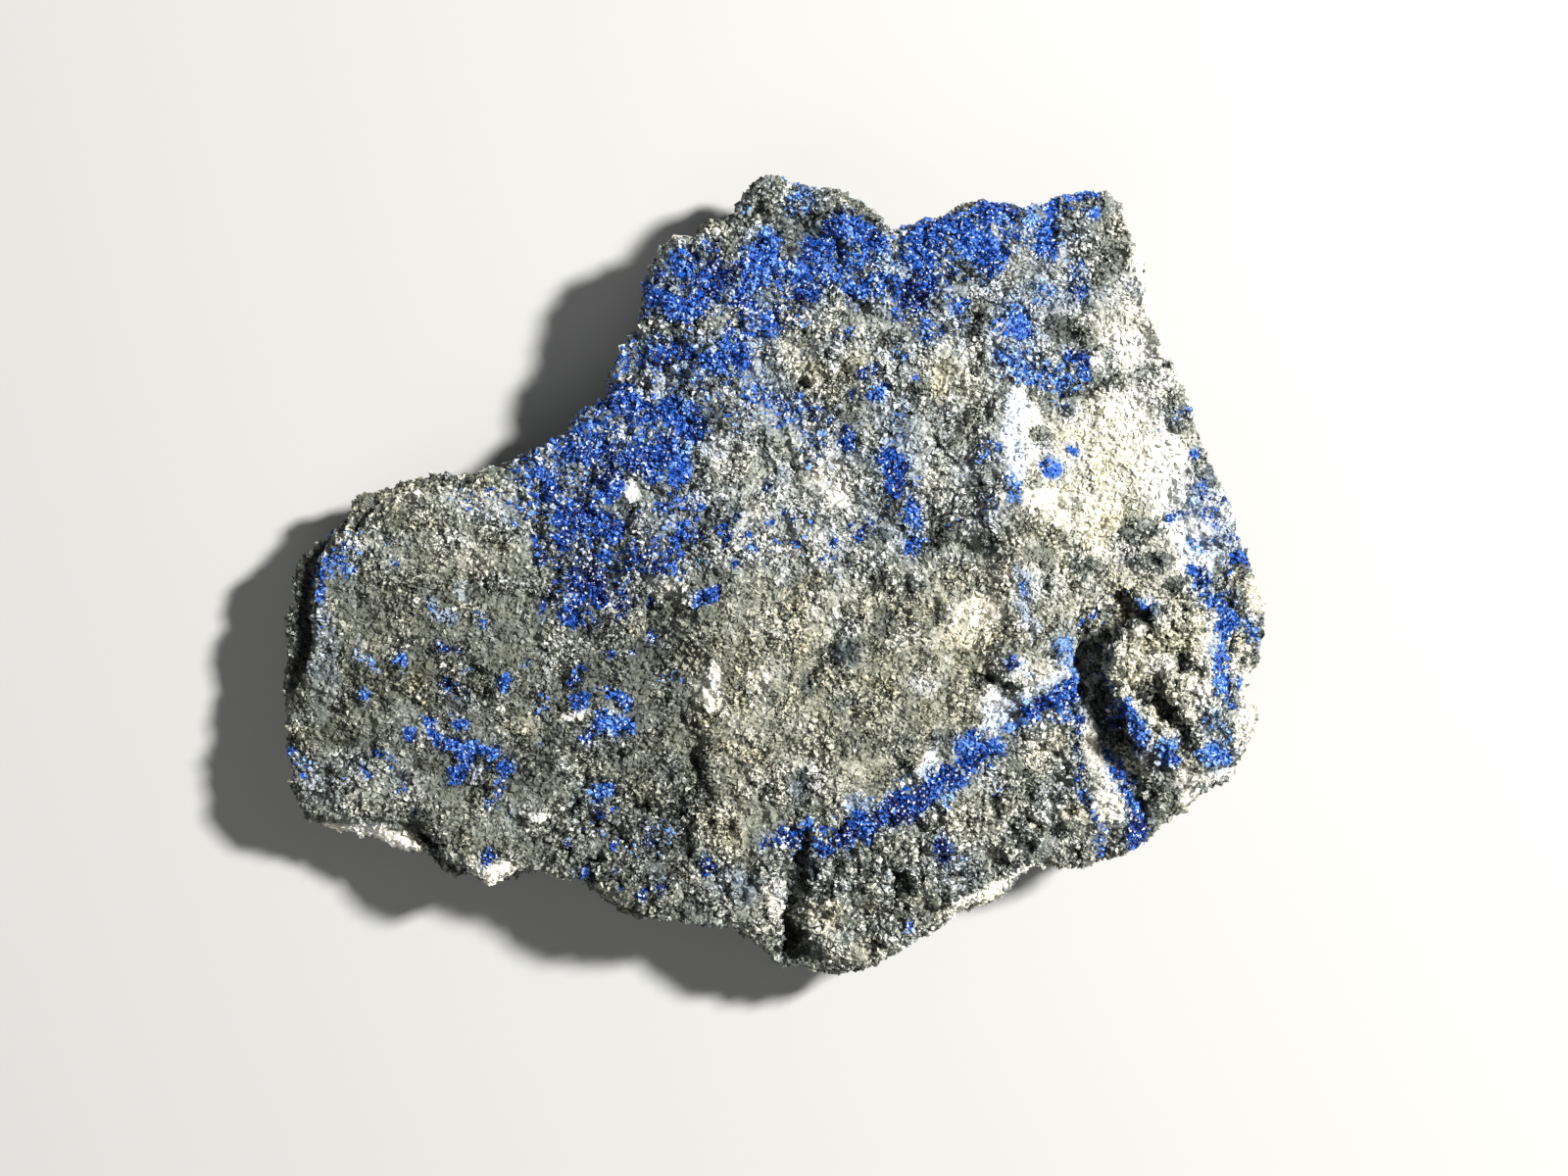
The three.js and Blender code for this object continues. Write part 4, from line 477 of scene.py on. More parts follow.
# The crystals of the sides and the underside are fewer, and wider than those of the face.
SIDE_SWELL, UNDER_SWELL = 1.3, 1.6
# How often each crystal shape comes: three cleavage blocks, three splinters and two points.
SHAPE_SHARES = 3 * (0.08,) + 3 * (0.16,) + 2 * (0.14,)

# Lengths of the patterns in the materials, in millimetres: the finest grains, the knobs and their height,
# the hair cracks with their painted shade, and the clouds in the marble, in the blue, and at the edges of the
# blue stain.
FINE_GRAIN = 0.16
KNOB_LENGTH, KNOB_HEIGHT = 0.75, 0.3
HAIR_LENGTH = 0.9
TONE_CLOUDS, SHADE_CLOUDS, STAIN_CLOUDS = 0.5, 0.4, 0.45
# How strong the clouds are, how far fine grains step in tone and in shade, how much of that is left in
# smooth islands, and how much painted shade darkens a hair crack.
CLOUDINESS = 0.35
TONE_STEP, SHADE_STEP = 0.42, 0.6
SMOOTH_SHARE = 0.1
HAIR_PAINTED_SHADE = 0.55
# A hair crack's painted shade is full to this far from its middle, in the values of its noise, and ends at
# the second.
HAIR_EDGE = (0.012, 0.04)
# A fine grain in the blue is a white fleck, partly brucite and partly a painted glint, where its chance, less
# in paler places, passes a limit.
FLECK_FADE, FLECK_LIMIT = 0.18, 0.38
# The groundmass is stained blue where the share of blue and its clouds together pass this edge, and
# gritty ground is this much darker than its grains, as painted shade from them.
STAIN_CLOUDINESS, STAIN_EDGE = 1.1, (0.88, 1.08)
GROUND_PAINTED_SHADE = 0.4


def linear(hex_colour):
    """An sRGB hex colour as linear red, green, blue and alpha."""
    parts = [int(hex_colour[i:i + 2], 16) / 255 for i in (1, 3, 5)]
    return tuple(p / 12.92 if p <= 0.04045 else ((p + 0.055) / 1.055) ** 2.4 for p in parts) + (1.0,)


def smooth(value, low, high):
    """Smoothstep from 0 at low to 1 at high."""
    share = np.clip((value - low) / (high - low), 0, 1)
    return share * share * (3 - 2 * share)


def path_distance(places, path):
    """How far each place is from a point, or from a path through several."""
    path = np.array(path, float).reshape(-1, 2)
    if len(path) == 1:
        return np.linalg.norm(places - path[0], axis=1)
    nearest = np.full(len(places), np.inf)
    for start, end in zip(path[:-1], path[1:]):
        run = end - start
        along = np.clip((places - start) @ run / (run @ run), 0, 1)
        nearest = np.minimum(nearest, np.linalg.norm(places - start - along[:, None] * run, axis=1))
    return nearest


def patch_mask(places, east, north, half_width, half_height):
    """1 inside an ellipse, falling softly to 0 outside its edge."""
    out = np.hypot((places[:, 0] - east) / half_width, (places[:, 1] - north) / half_height)
    return 1 - smooth(out, *PATCH_EDGE)


def noise_at(points, pattern):
    """Perlin noise from -1 to 1 at each point, in one of the patterns."""
    length, seed = PATTERNS[pattern]
    shift = Vector((seed * 7.3, seed * 3.1, seed * 5.7))
    return np.array([noise.noise(Vector(p) / length + shift) for p in points])


def stray(points, pattern):
    """A step east and north at each point, in a pair of patterns."""
    return np.column_stack([noise_at(points, f"{pattern}_{way}") for way in ("east", "north")])


def pitted(points):
    """1 in the small pits where grains have fallen out, 0 between them. Many are long from north to south."""
    long_pits = noise_at(points * (1.5, 0.75, 1), "long_pits")
    return np.maximum(smooth(-noise_at(points, "round_pits"), 0.26, 0.55), smooth(-long_pits, 0.3, 0.5))


def depth_below_face(points, surface):
    """How far points lie below the highest place of the surface near them, in millimetres."""
    low = surface[:, :2].min(axis=0) - 2 * FACE_CELL
    across, along = ((surface[:, :2] - low) / FACE_CELL).astype(int).T
    highest = np.zeros((across.max() + 3, along.max() + 3))
    np.maximum.at(highest, (across, along), surface[:, 2])
    near = np.max([np.roll(highest, (i, j), (0, 1)) for i in (-1, 0, 1) for j in (-1, 0, 1)], axis=0)
    across, along = np.clip(((points[:, :2] - low) / FACE_CELL).astype(int), 0, np.array(near.shape) - 1).T
    return near[across, along] - points[:, 2]


def marble_zones(points, surface):
    """Tone, warmth, share of blue and shade of blue at points in millimetres.

    The face has the zones drawn above. Below it they drift, fade and break up, as they do through a rock.
    """
    deep = smooth(depth_below_face(points, surface), *DEEP)
    bend = stray(points, "edge") + FINE_WARP * stray(points, "fine")
    drift = DRIFT_REACH * stray(points, "drift") + DRIFT
    plan = points[:, :2] + EDGE_WARP * bend + deep[:, None] * drift
    tone = np.full(len(points), USUAL_TONE)
    warmth = np.full(len(points), USUAL_WARMTH)
    for *patch, value, warm in TONE_PATCHES:
        mask = patch_mask(plan, *patch)
        tone += mask * (value - tone)
        warmth += mask * (warm - warmth)
    for path, half_width, value, warm in TONE_STROKES:
        mask = 1 - smooth(path_distance(plan, path) / half_width, *STREAK_EDGE)
        tone += mask * (value - tone)
        warmth += mask * (warm - warmth)
    # Cracks are darkened with painted shade.
    for path, half_width, depth in CRACKS:
        out = path_distance(plan, path) / half_width
        tone -= min(depth, 1) * CRACK_PAINTED_SHADE * tone * np.exp(-out ** 2)
    blue = np.zeros(len(points))
    halo = np.zeros(len(points))
    shade = np.full(len(points), USUAL_SHADE)
    for path, half_width, share, depth in BLUE_STROKES:
        out = path_distance(plan, path) / half_width
        mask = share * (1 - smooth(out, *BLUE_EDGE))
        shade = np.where(mask > blue, depth, shade)
        blue = np.maximum(blue, mask)
        halo = np.maximum(halo, share * (1 - smooth(out, *HALO_EDGE)))
    # Deep down the tones are plainer and the blue is less, and a few dustings lie where none are drawn.
    tone += 0.5 * deep * (0.52 + 0.5 * noise_at(points, "deep_tone") - tone)
    blue *= 1 - 0.7 * deep
    blue = np.maximum(blue, 0.6 * deep * smooth(noise_at(points, "deep_blue"), 0.34, 0.6))
    halo *= 1 - deep
    return tone, warmth * (1 - halo) - 0.95 * halo, blue, shade


def roughness_of(points):
    """How much rougher and more speckled the broken face is at each point."""
    rough = np.ones(len(points))
    for *patch, times in ROUGH_FIELDS:
        rough += patch_mask(points[:, :2], *patch) * (times - rough)
    return rough


def grit_of(points, rough, tone, blue):
    """How far the grains stand out: hardly in white places, where they are fused, and 1 in gritty ones."""
    bias = 0.45 * (rough - 0.85) + 0.5 * blue
    calm = 1 - 0.9 * smooth(tone, 0.75, 0.95) * (1 - blue)
    return calm * (0.25 + 0.75 * smooth(noise_at(points, "islands") + bias, -0.3, 0.4))


def colour_setting(name, description, hex_colour):
    """A colour that the user can change."""
    return bpy.props.FloatVectorProperty(name=name, description=description, default=linear(hex_colour),
                                         subtype="COLOR", size=4, min=0, max=1)


class SpecimenSizes(bpy.types.PropertyGroup):
    """Sizes of the crystals and of the broken surface."""

    grain: bpy.props.FloatProperty(
        name="Grain size", description="Usual width of a marble grain, in millimetres",
        default=0.23, min=0.15, max=1.5)
    face_density: bpy.props.FloatProperty(
        name="Face grains", description="Grains on each square millimetre of the face",
        default=27.8, min=1, max=40)
    side_density: bpy.props.FloatProperty(
        name="Side grains", description="Grains on each square millimetre of the sides",
        default=7.2, min=1, max=12)
    under_density: bpy.props.FloatProperty(
        name="Underside grains", description="Grains on each square millimetre of the underside",
        default=4.2, min=1, max=12)
    relief: bpy.props.FloatProperty(
        name="Fine relief", description="Height of the broken surface's knobs, in millimetres",
        default=0.3, min=0, max=1)
    vein_swell: bpy.props.FloatProperty(
        name="Blue grain size", description="Size of a blue grain against a marble grain",
        default=0.9, min=0.5, max=2, subtype="FACTOR")


class SpecimenColours(bpy.types.PropertyGroup):
    """Colours of the minerals and of the stage."""

    marble_dark: colour_setting("Dark marble", "Grey brucite in the dark patches", "#1E211C")
    marble_middle: colour_setting("Grey marble", "Usual grey brucite", "#80857C")
    marble_light: colour_setting("White marble", "White calcite", "#F1EFE6")
    warm: colour_setting("Warm tint", "Cream and olive stain on the grains", "#F0E8CC")
    cool: colour_setting("Cool tint", "Bluish grey of brucite beside the callaghanite", "#A6C0EC")
    blue_deep: colour_setting("Deep blue", "Thick callaghanite", "#010A4A")
    blue_azure: colour_setting("Azure", "Callaghanite crystals", "#0F5BC5")
    blue_pale: colour_setting("Pale blue", "Thin or powdery callaghanite", "#86B2EC")
    # The flecks are partly brucite grains and partly painted glints.
    blue_dust_and_glint: colour_setting("Dusty blue", "Brucite flecks among the callaghanite", "#D8E1EE")
    floor: colour_setting("Floor", "Pale studio floor", "#C6C5C1")


def add_node(tree, kind, inputs=None, **settings):
    """Adds a node. An input is a value, or another node's output, by the socket's name or number."""
    made = tree.nodes.new(kind)
    for name, value in settings.items():
        setattr(made, name, value)
    for socket, value in (inputs or {}).items():
        if isinstance(value, bpy.types.NodeSocket):
            tree.links.new(value, made.inputs[socket])
        else:
            made.inputs[socket].default_value = value
    return made


def new_material(name):
    """An empty node material, and its node tree."""
    material = bpy.data.materials.new(name)
    material.use_nodes = True
    material.node_tree.nodes.clear()
    return material, material.node_tree


def per_metre(millimetres):
    """A texture scale on Object coordinates whose features are this long."""
    return 1 / (millimetres * MM)


def rock_material(name, stored):
    """A material, its node tree and what its patterns read, by name.

    Place is Object coordinates, step is random in each of the finest grains, from -0.5 to 0.5 each way,
    and the others are numbers stored on the mesh.
    """
    material, tree = new_material(name)
    reads = {number: add_node(tree, "ShaderNodeAttribute", attribute_name=number).outputs["Fac"]
             for number in stored}
    reads["place"] = add_node(tree, "ShaderNodeTexCoord").outputs["Object"]
    cells = add_node(tree, "ShaderNodeTexVoronoi", {"Vector": reads["place"], "Scale": per_metre(FINE_GRAIN)})
    step = add_node(tree, "ShaderNodeVectorMath", {0: cells.outputs["Color"], 1: (0.5, 0.5, 0.5)},
                    operation="SUBTRACT")
    reads["step"] = step.outputs[0]
    return material, tree, reads


def gritty_amount(tree, reads, least, most):
    """A number that grows from the least in the smooth islands to the most where the rock is gritty."""
    return add_node(tree, "ShaderNodeMapRange",
                    {"Value": reads["grit"], "To Min": least, "To Max": most}).outputs[0]


def jittered(tree, reads, number, length, reach):
    """A stored number with faint clouds, and a step in each fine grain where the rock is gritty."""
    clouds = add_node(tree, "ShaderNodeTexNoise",
                      {"Vector": reads["place"], "Scale": per_metre(length), "Detail": 3.0, "Roughness": 0.6})
    shift = add_node(tree, "ShaderNodeMath", {0: clouds.outputs["Fac"], 1: -0.5}, operation="ADD")
    cloudy = add_node(tree, "ShaderNodeMath", {0: shift.outputs[0], 1: CLOUDINESS, 2: reads[number]},
                      operation="MULTIPLY_ADD")
    step = add_node(tree, "ShaderNodeSeparateXYZ", {0: reads["step"]})
    amount = gritty_amount(tree, reads, SMOOTH_SHARE * reach, reach)
    return add_node(tree, "ShaderNodeMath", {0: step.outputs[0], 1: amount, 2: cloudy.outputs[0]},
                    operation="MULTIPLY_ADD").outputs[0]


def hair_crack_shade(tree, reads):
    """1 in hair cracks round the knobs, where the rock is gritty, 0 beside them. There the tone is darkened
    as painted shade.
    """
    swell = add_node(tree, "ShaderNodeTexNoise",
                     {"Vector": reads["place"], "Scale": per_metre(HAIR_LENGTH), "Detail": 2.0})
    middle = add_node(tree, "ShaderNodeMath", {0: swell.outputs["Fac"], 1: 0.5}, operation="SUBTRACT")
    near = add_node(tree, "ShaderNodeMath", {0: middle.outputs[0]}, operation="ABSOLUTE")
    line = add_node(tree, "ShaderNodeMapRange", {"Value": near.outputs[0], "From Min": HAIR_EDGE[0],
                                                 "From Max": HAIR_EDGE[1], "To Min": 1.0, "To Max": 0.0})
    return add_node(tree, "ShaderNodeMath", {0: line.outputs[0], 1: gritty_amount(tree, reads, 0.0, 1.0)},
                    operation="MULTIPLY").outputs[0]


def marble_colour(tree, reads, colours):
    """Colour of the marble: tone along three greys, with painted shade in hair cracks, tinted warm or cool.
    """
    tone = jittered(tree, reads, "tone", TONE_CLOUDS, TONE_STEP)
    # Hair cracks darken the tone, as painted shade.
    tone = add_node(tree, "ShaderNodeMath", {0: hair_crack_shade(tree, reads), 1: -HAIR_PAINTED_SHADE, 2: tone},
                    operation="MULTIPLY_ADD")
    ramp = add_node(tree, "ShaderNodeValToRGB", {0: tone.outputs[0]})
    stops = ramp.color_ramp.elements
    stops[0].color = colours.marble_dark
    stops[1].color = colours.marble_light
    stops.new(0.55).color = colours.marble_middle
    colour = ramp.outputs[0]
    for tint, sign in ((colours.warm, 1.0), (colours.cool, -1.0)):
        share = add_node(tree, "ShaderNodeMath", {0: reads["warmth"], 1: sign},
                         operation="MULTIPLY", use_clamp=True)
        colour = add_node(tree, "ShaderNodeMix", {0: share.outputs[0], 6: colour, 7: tint},
                          data_type="RGBA", blend_type="MULTIPLY").outputs[2]
    return colour


def blue_colour(tree, reads, colours):
    """Colour of callaghanite from navy over azure to pale, with white flecks that are partly brucite and
    partly painted glints.
    """
    shade = jittered(tree, reads, "shade", SHADE_CLOUDS, SHADE_STEP)
    ramp = add_node(tree, "ShaderNodeValToRGB", {0: shade})
    stops = ramp.color_ramp.elements
    stops[0].color = colours.blue_deep
    stops[1].color = colours.blue_pale
    stops.new(0.5).color = colours.blue_azure
    step = add_node(tree, "ShaderNodeSeparateXYZ", {0: reads["step"]})
    chance = add_node(tree, "ShaderNodeMath", {0: reads["shade"], 1: -FLECK_FADE, 2: step.outputs[1]},
                      operation="MULTIPLY_ADD")
    is_fleck = add_node(tree, "ShaderNodeMath", {0: chance.outputs[0], 1: FLECK_LIMIT},
                        operation="GREATER_THAN")
    return add_node(tree, "ShaderNodeMix",
                    {0: is_fleck.outputs[0], 6: ramp.outputs[0], 7: colours.blue_dust_and_glint},
                    data_type="RGBA").outputs[2]


def facet_normal(tree, reads, tilt):
    """The normal over low knobs, tilted at random in each fine grain, as its flat faces are."""
    knobs = add_node(tree, "ShaderNodeTexNoise", {"Vector": reads["place"], "Scale": per_metre(KNOB_LENGTH),
                                                  "Detail": 3.0, "Roughness": 0.55})
    bump = add_node(tree, "ShaderNodeBump",
                    {"Height": knobs.outputs["Fac"], "Strength": 0.8, "Distance": KNOB_HEIGHT * MM})
    amount = gritty_amount(tree, reads, SMOOTH_SHARE * tilt, tilt)
    tilted = add_node(tree, "ShaderNodeVectorMath", {0: reads["step"], "Scale": amount}, operation="SCALE")
    summed = add_node(tree, "ShaderNodeVectorMath", {0: bump.outputs["Normal"], 1: tilted.outputs[0]},
                      operation="ADD")
    return add_node(tree, "ShaderNodeVectorMath", {0: summed.outputs[0]}, operation="NORMALIZE").outputs[0]


def finish_surface(tree, reads, colour, roughness, tilt, ior, sheen):
    """The shader and the output. Roughness goes from dull to glossy with the glint stored on each grain."""
    dull, glossy = roughness
    glint = add_node(tree, "ShaderNodeMapRange", {"Value": reads["glint"], "To Min": dull, "To Max": glossy})
    shader = add_node(tree, "ShaderNodeBsdfPrincipled",
                      {"Base Color": colour, "Roughness": glint.outputs["Result"], "IOR": ior,
                       "Specular IOR Level": sheen, "Normal": facet_normal(tree, reads, tilt)})
    add_node(tree, "ShaderNodeOutputMaterial", {"Surface": shader.outputs[0]})


def crystal_marble(colours):
    """Sugary brucite and calcite: clear to white grains with flat glassy cleavage that catches the light."""
    material, tree, reads = rock_material("Sugary brucite and calcite marble, broken",
                                          ("tone", "warmth", "glint", "grit"))
    colour = marble_colour(tree, reads, colours)
    finish_surface(tree, reads, colour, roughness=(0.62, 0.22), tilt=0.95, ior=1.58, sheen=0.5)
    return material


def crystal_blue(colours):
    """Callaghanite: granular copper carbonate, vitreous, so its flats glint and its mass looks deep blue."""
    material, tree, reads = rock_material("Granular callaghanite, vitreous", ("shade", "glint", "grit"))
    colour = blue_colour(tree, reads, colours)
    finish_surface(tree, reads, colour, roughness=(0.55, 0.2), tilt=1.1, ior=1.65, sheen=0.4)
    return material


def body_marble(colours):
    """The rock between the grains: the same marble darkened with painted shade from its grains, stained blue
    by the veins.
    """
    material, tree, reads = rock_material("Marble groundmass between the grains",
                                          ("tone", "warmth", "blue", "shade", "glint", "grit"))
    clouds = add_node(tree, "ShaderNodeTexNoise",
                      {"Vector": reads["place"], "Scale": per_metre(STAIN_CLOUDS), "Detail": 4.0})
    reach = add_node(tree, "ShaderNodeMath",
                     {0: clouds.outputs["Fac"], 1: STAIN_CLOUDINESS, 2: reads["blue"]},
                     operation="MULTIPLY_ADD")
    stained = add_node(tree, "ShaderNodeMapRange", {"Value": reach.outputs[0], "From Min": STAIN_EDGE[0],
                                                    "From Max": STAIN_EDGE[1]})
    rock = add_node(tree, "ShaderNodeMix", {0: stained.outputs[0], 6: marble_colour(tree, reads, colours),
                                            7: blue_colour(tree, reads, colours)}, data_type="RGBA")
    # Gritty ground is mixed towards black, as painted shade from its grains.
    black = (0.0, 0.0, 0.0, 1.0)
    ground_with_painted_shade = add_node(tree, "ShaderNodeMix", {0: gritty_amount(tree, reads, 0.0, GROUND_PAINTED_SHADE),
                                              6: rock.outputs[2], 7: black}, data_type="RGBA")
    finish_surface(tree, reads, ground_with_painted_shade.outputs[2], roughness=(0.6, 0.6), tilt=1.2, ior=1.58, sheen=0.4)
    return material


def body_relief(points, normals, relief):
    """How far each point of the body moves along its normal, in millimetres.

    Knobs, large and small, have sharp valleys between them. The sides and the underside are craggier.
    """
    up = smooth(normals[:, 2], 0.2, 0.6)
    rough = roughness_of(points)
    rough = 1 + up * (rough * (0.5 + 0.75 * grit_of(points, rough, 0, 0)) - 1)
    knobs = KNOBS * (1 - VALLEY * np.abs(noise_at(points, "knobs")))
    knobs += SMALL_KNOBS * (1 - VALLEY * np.abs(noise_at(points, "small_knobs"))) - KNOBS_DOWN
    crags = CRAGS * noise_at(points, "crags") - CREVICES * np.abs(noise_at(points, "crevices")) + CRAGS_OUT
    moved = relief * rough * knobs + SWELL * noise_at(points, "swell") + (1 - up) * crags
    moved -= PITS_DOWN * relief * up * rough * pitted(points)
    for path, half_width, depth in CRACKS:
        out = path_distance(points[:, :2], path) / half_width
        moved -= depth * up * np.exp(-out ** 2)
    return moved


def specimen_body(grain, relief):
    """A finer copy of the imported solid, with the knobs, pits and cracks of the broken surface."""
    bm = bmesh.new()
    bm.from_mesh(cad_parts[NODE].data)
    bmesh.ops.remove_doubles(bm, verts=bm.verts, dist=0.01 * MM)
    for _ in range(2):
        bmesh.ops.subdivide_edges(bm, edges=bm.edges, cuts=1, use_grid_fill=True)
        bmesh.ops.smooth_vert(bm, verts=bm.verts, factor=0.25,
                              use_axis_x=True, use_axis_y=True, use_axis_z=True)
    bmesh.ops.triangulate(bm, faces=bm.faces)
    bm.normal_update()
    points = np.array([v.co for v in bm.verts]) / MM
    normals = np.array([v.normal for v in bm.verts])
    moved = body_relief(points, normals, relief) - SUNK * grain
    points += normals * moved[:, None]
    over = np.maximum(points[:, 2] - CAD_BOX[1][2] / MM + TOP_MARGIN, 0)
    points[:, 2] += TOP_MARGIN * np.tanh(over / TOP_MARGIN) - over
    points[:, 2] = np.maximum(points[:, 2], BODY_LIFT)
    for vertex, point in zip(bm.verts, points):
        vertex.co = point * MM
    mesh = bpy.data.meshes.new("marble_body")
    bm.to_mesh(mesh)
    bm.free()
    return mesh, points


def new_piece(mesh, stored, material):
    """Links a mesh to the scene as a piece of the specimen, with its stored numbers and its material."""
    for number, values in stored.items():
        attribute = mesh.attributes.new(number, "FLOAT", "POINT")
        attribute.data.foreach_set("value", np.asarray(values, np.float32))
    piece = bpy.data.objects.new(mesh.name, mesh)
    bpy.context.scene.collection.objects.link(piece)
    mesh.materials.append(material)
    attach(piece, "root")
    return piece


def grain_shapes(rng):
    """Crystal shapes one unit wide: skewed cleavage blocks, splinters and points."""
    shapes = []
    for number in range(len(SHAPE_SHARES)):
        bm = bmesh.new()
        if number < 3:
            bmesh.ops.create_cube(bm, size=1.0)
            skew = Matrix.Shear("XY", 4, (rng.uniform(-0.35, 0.35), rng.uniform(-0.35, 0.35)))
            bmesh.ops.transform(bm, matrix=skew, verts=bm.verts)
        elif number < 6:
            bmesh.ops.create_cone(bm, cap_ends=True, segments=3, radius1=0.75, radius2=0.6, depth=0.9)
        else:
            bmesh.ops.create_cone(bm, cap_ends=True, segments=4, radius1=0.8, radius2=0, depth=1.0)
        stretch = Vector(rng.uniform(0.75, 1.15, 3))
        bmesh.ops.scale(bm, vec=stretch, verts=bm.verts)
        for vertex in bm.verts:
            vertex.co += Vector(rng.uniform(-0.13, 0.13, 3))
        bmesh.ops.triangulate(bm, faces=bm.faces)
        bm.verts.index_update()
        corners = np.array([v.co for v in bm.verts])
        sides = np.array([[v.index for v in f.verts] for f in bm.faces])
        shapes.append((corners, sides))
        bm.free()
    return shapes


def random_turns(rng, count):
    """Random rotation matrices."""
    q = rng.normal(size=(count, 4))
    w, x, y, z = (q / np.linalg.norm(q, axis=1)[:, None]).T
    rows = [[1 - 2 * (y * y + z * z), 2 * (x * y - w * z), 2 * (x * z + w * y)],
            [2 * (x * y + w * z), 1 - 2 * (x * x + z * z), 2 * (y * z - w * x)],
            [2 * (x * z - w * y), 2 * (y * z + w * x), 1 - 2 * (x * x + y * y)]]
    return np.moveaxis(np.array(rows), 2, 0)


def scattered(mesh, face, side, under, rng):
    """Points spread evenly over a mesh, with their normals, by the densities of face, sides and underside."""
    mesh.calc_loop_triangles()
    corners = np.empty(len(mesh.vertices) * 3)
    mesh.vertices.foreach_get("co", corners)
    corners = corners.reshape(-1, 3) / MM
    triangles = np.empty(len(mesh.loop_triangles) * 3, int)
    mesh.loop_triangles.foreach_get("vertices", triangles)
    a, b, c = corners[triangles.reshape(-1, 3)].transpose(1, 0, 2)
    cross = np.cross(b - a, c - a)
    area = np.linalg.norm(cross, axis=1) / 2
    normals = cross / (2 * area[:, None] + 1e-12)
    up = smooth(normals[:, 2], 0.15, 0.55)
    down = smooth(-normals[:, 2], 0.4, 0.7)
    wanted = area * (up * face + down * under + (1 - up - down) * side)
    reached = np.cumsum(wanted)
    draws = np.arange(int(reached[-1])) + rng.uniform(0, 1, int(reached[-1]))
    chosen = np.searchsorted(reached, np.minimum(draws, reached[-1] - 1e-6))
    u, v = rng.uniform(0, 1, (2, len(chosen)))
    over = u + v > 1
    u, v = np.where(over, 1 - u, u)[:, None], np.where(over, 1 - v, v)[:, None]
    places = a[chosen] + u * (b - a)[chosen] + v * (c - a)[chosen]
    return places, normals[chosen]


def joined_grains(name, places, normals, widths, stored, material, rng):
    """One mesh of many crystals, turned at random, and sunk deeper where the rock is smooth."""
    shapes = grain_shapes(rng)
    kinds = rng.choice(len(shapes), len(places), p=SHAPE_SHARES)
    turns = random_turns(rng, len(places))
    raised = rng.uniform(-0.05, 0.3, len(places)) - SUNK * (1 - stored["grit"])
    centres = places + normals * (widths * raised)[:, None]
    corners, sides, owners, reached = [], [], [], 0
    for kind, (shape, shape_sides) in enumerate(shapes):
        mine = np.flatnonzero(kinds == kind)
        made = np.einsum("nij,vj->nvi", turns[mine] * widths[mine, None, None], shape) + centres[mine, None]
        # None goes through the floor
        made[:, :, 2] += np.maximum(-made[:, :, 2].min(axis=1), 0)[:, None]
        starts = reached + np.arange(len(mine)) * len(shape)
        corners.append(made.reshape(-1, 3))
        sides.append((starts[:, None, None] + shape_sides).reshape(-1, 3))
        owners.append(np.repeat(mine, len(shape)))
        reached += len(mine) * len(shape)
    owners = np.concatenate(owners)
    mesh = bpy.data.meshes.new(name)
    mesh.from_pydata(np.concatenate(corners) * MM, [], np.concatenate(sides))
    new_piece(mesh, {number: values[owners] for number, values in stored.items()}, material)


class SpecimenOperator:
    """What the operators share: they need the specimen's settings in the scene."""

    bl_options = {"REGISTER", "UNDO"}

    @classmethod
    def poll(cls, context):
        return hasattr(context.scene, "specimen_sizes")


class SPECIMEN_OT_body(SpecimenOperator, bpy.types.Operator):
    """Build the marble body in place of the plain solid"""

    bl_idname = "specimen.body"
    bl_label = "Marble body"

    def execute(self, context):
        sizes = context.scene.specimen_sizes
        mesh, points = specimen_body(sizes.grain, sizes.relief)
        tone, warmth, blue, shade = marble_zones(points, points)
        stored = {"tone": tone, "warmth": warmth, "blue": blue, "shade": shade,
                  "glint": np.zeros(len(points)), "grit": grit_of(points, roughness_of(points), tone, blue)}
        mesh.shade_smooth()
        body = new_piece(mesh, stored, body_marble(context.scene.specimen_colours))
        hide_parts(NODE)
        return {"FINISHED"}


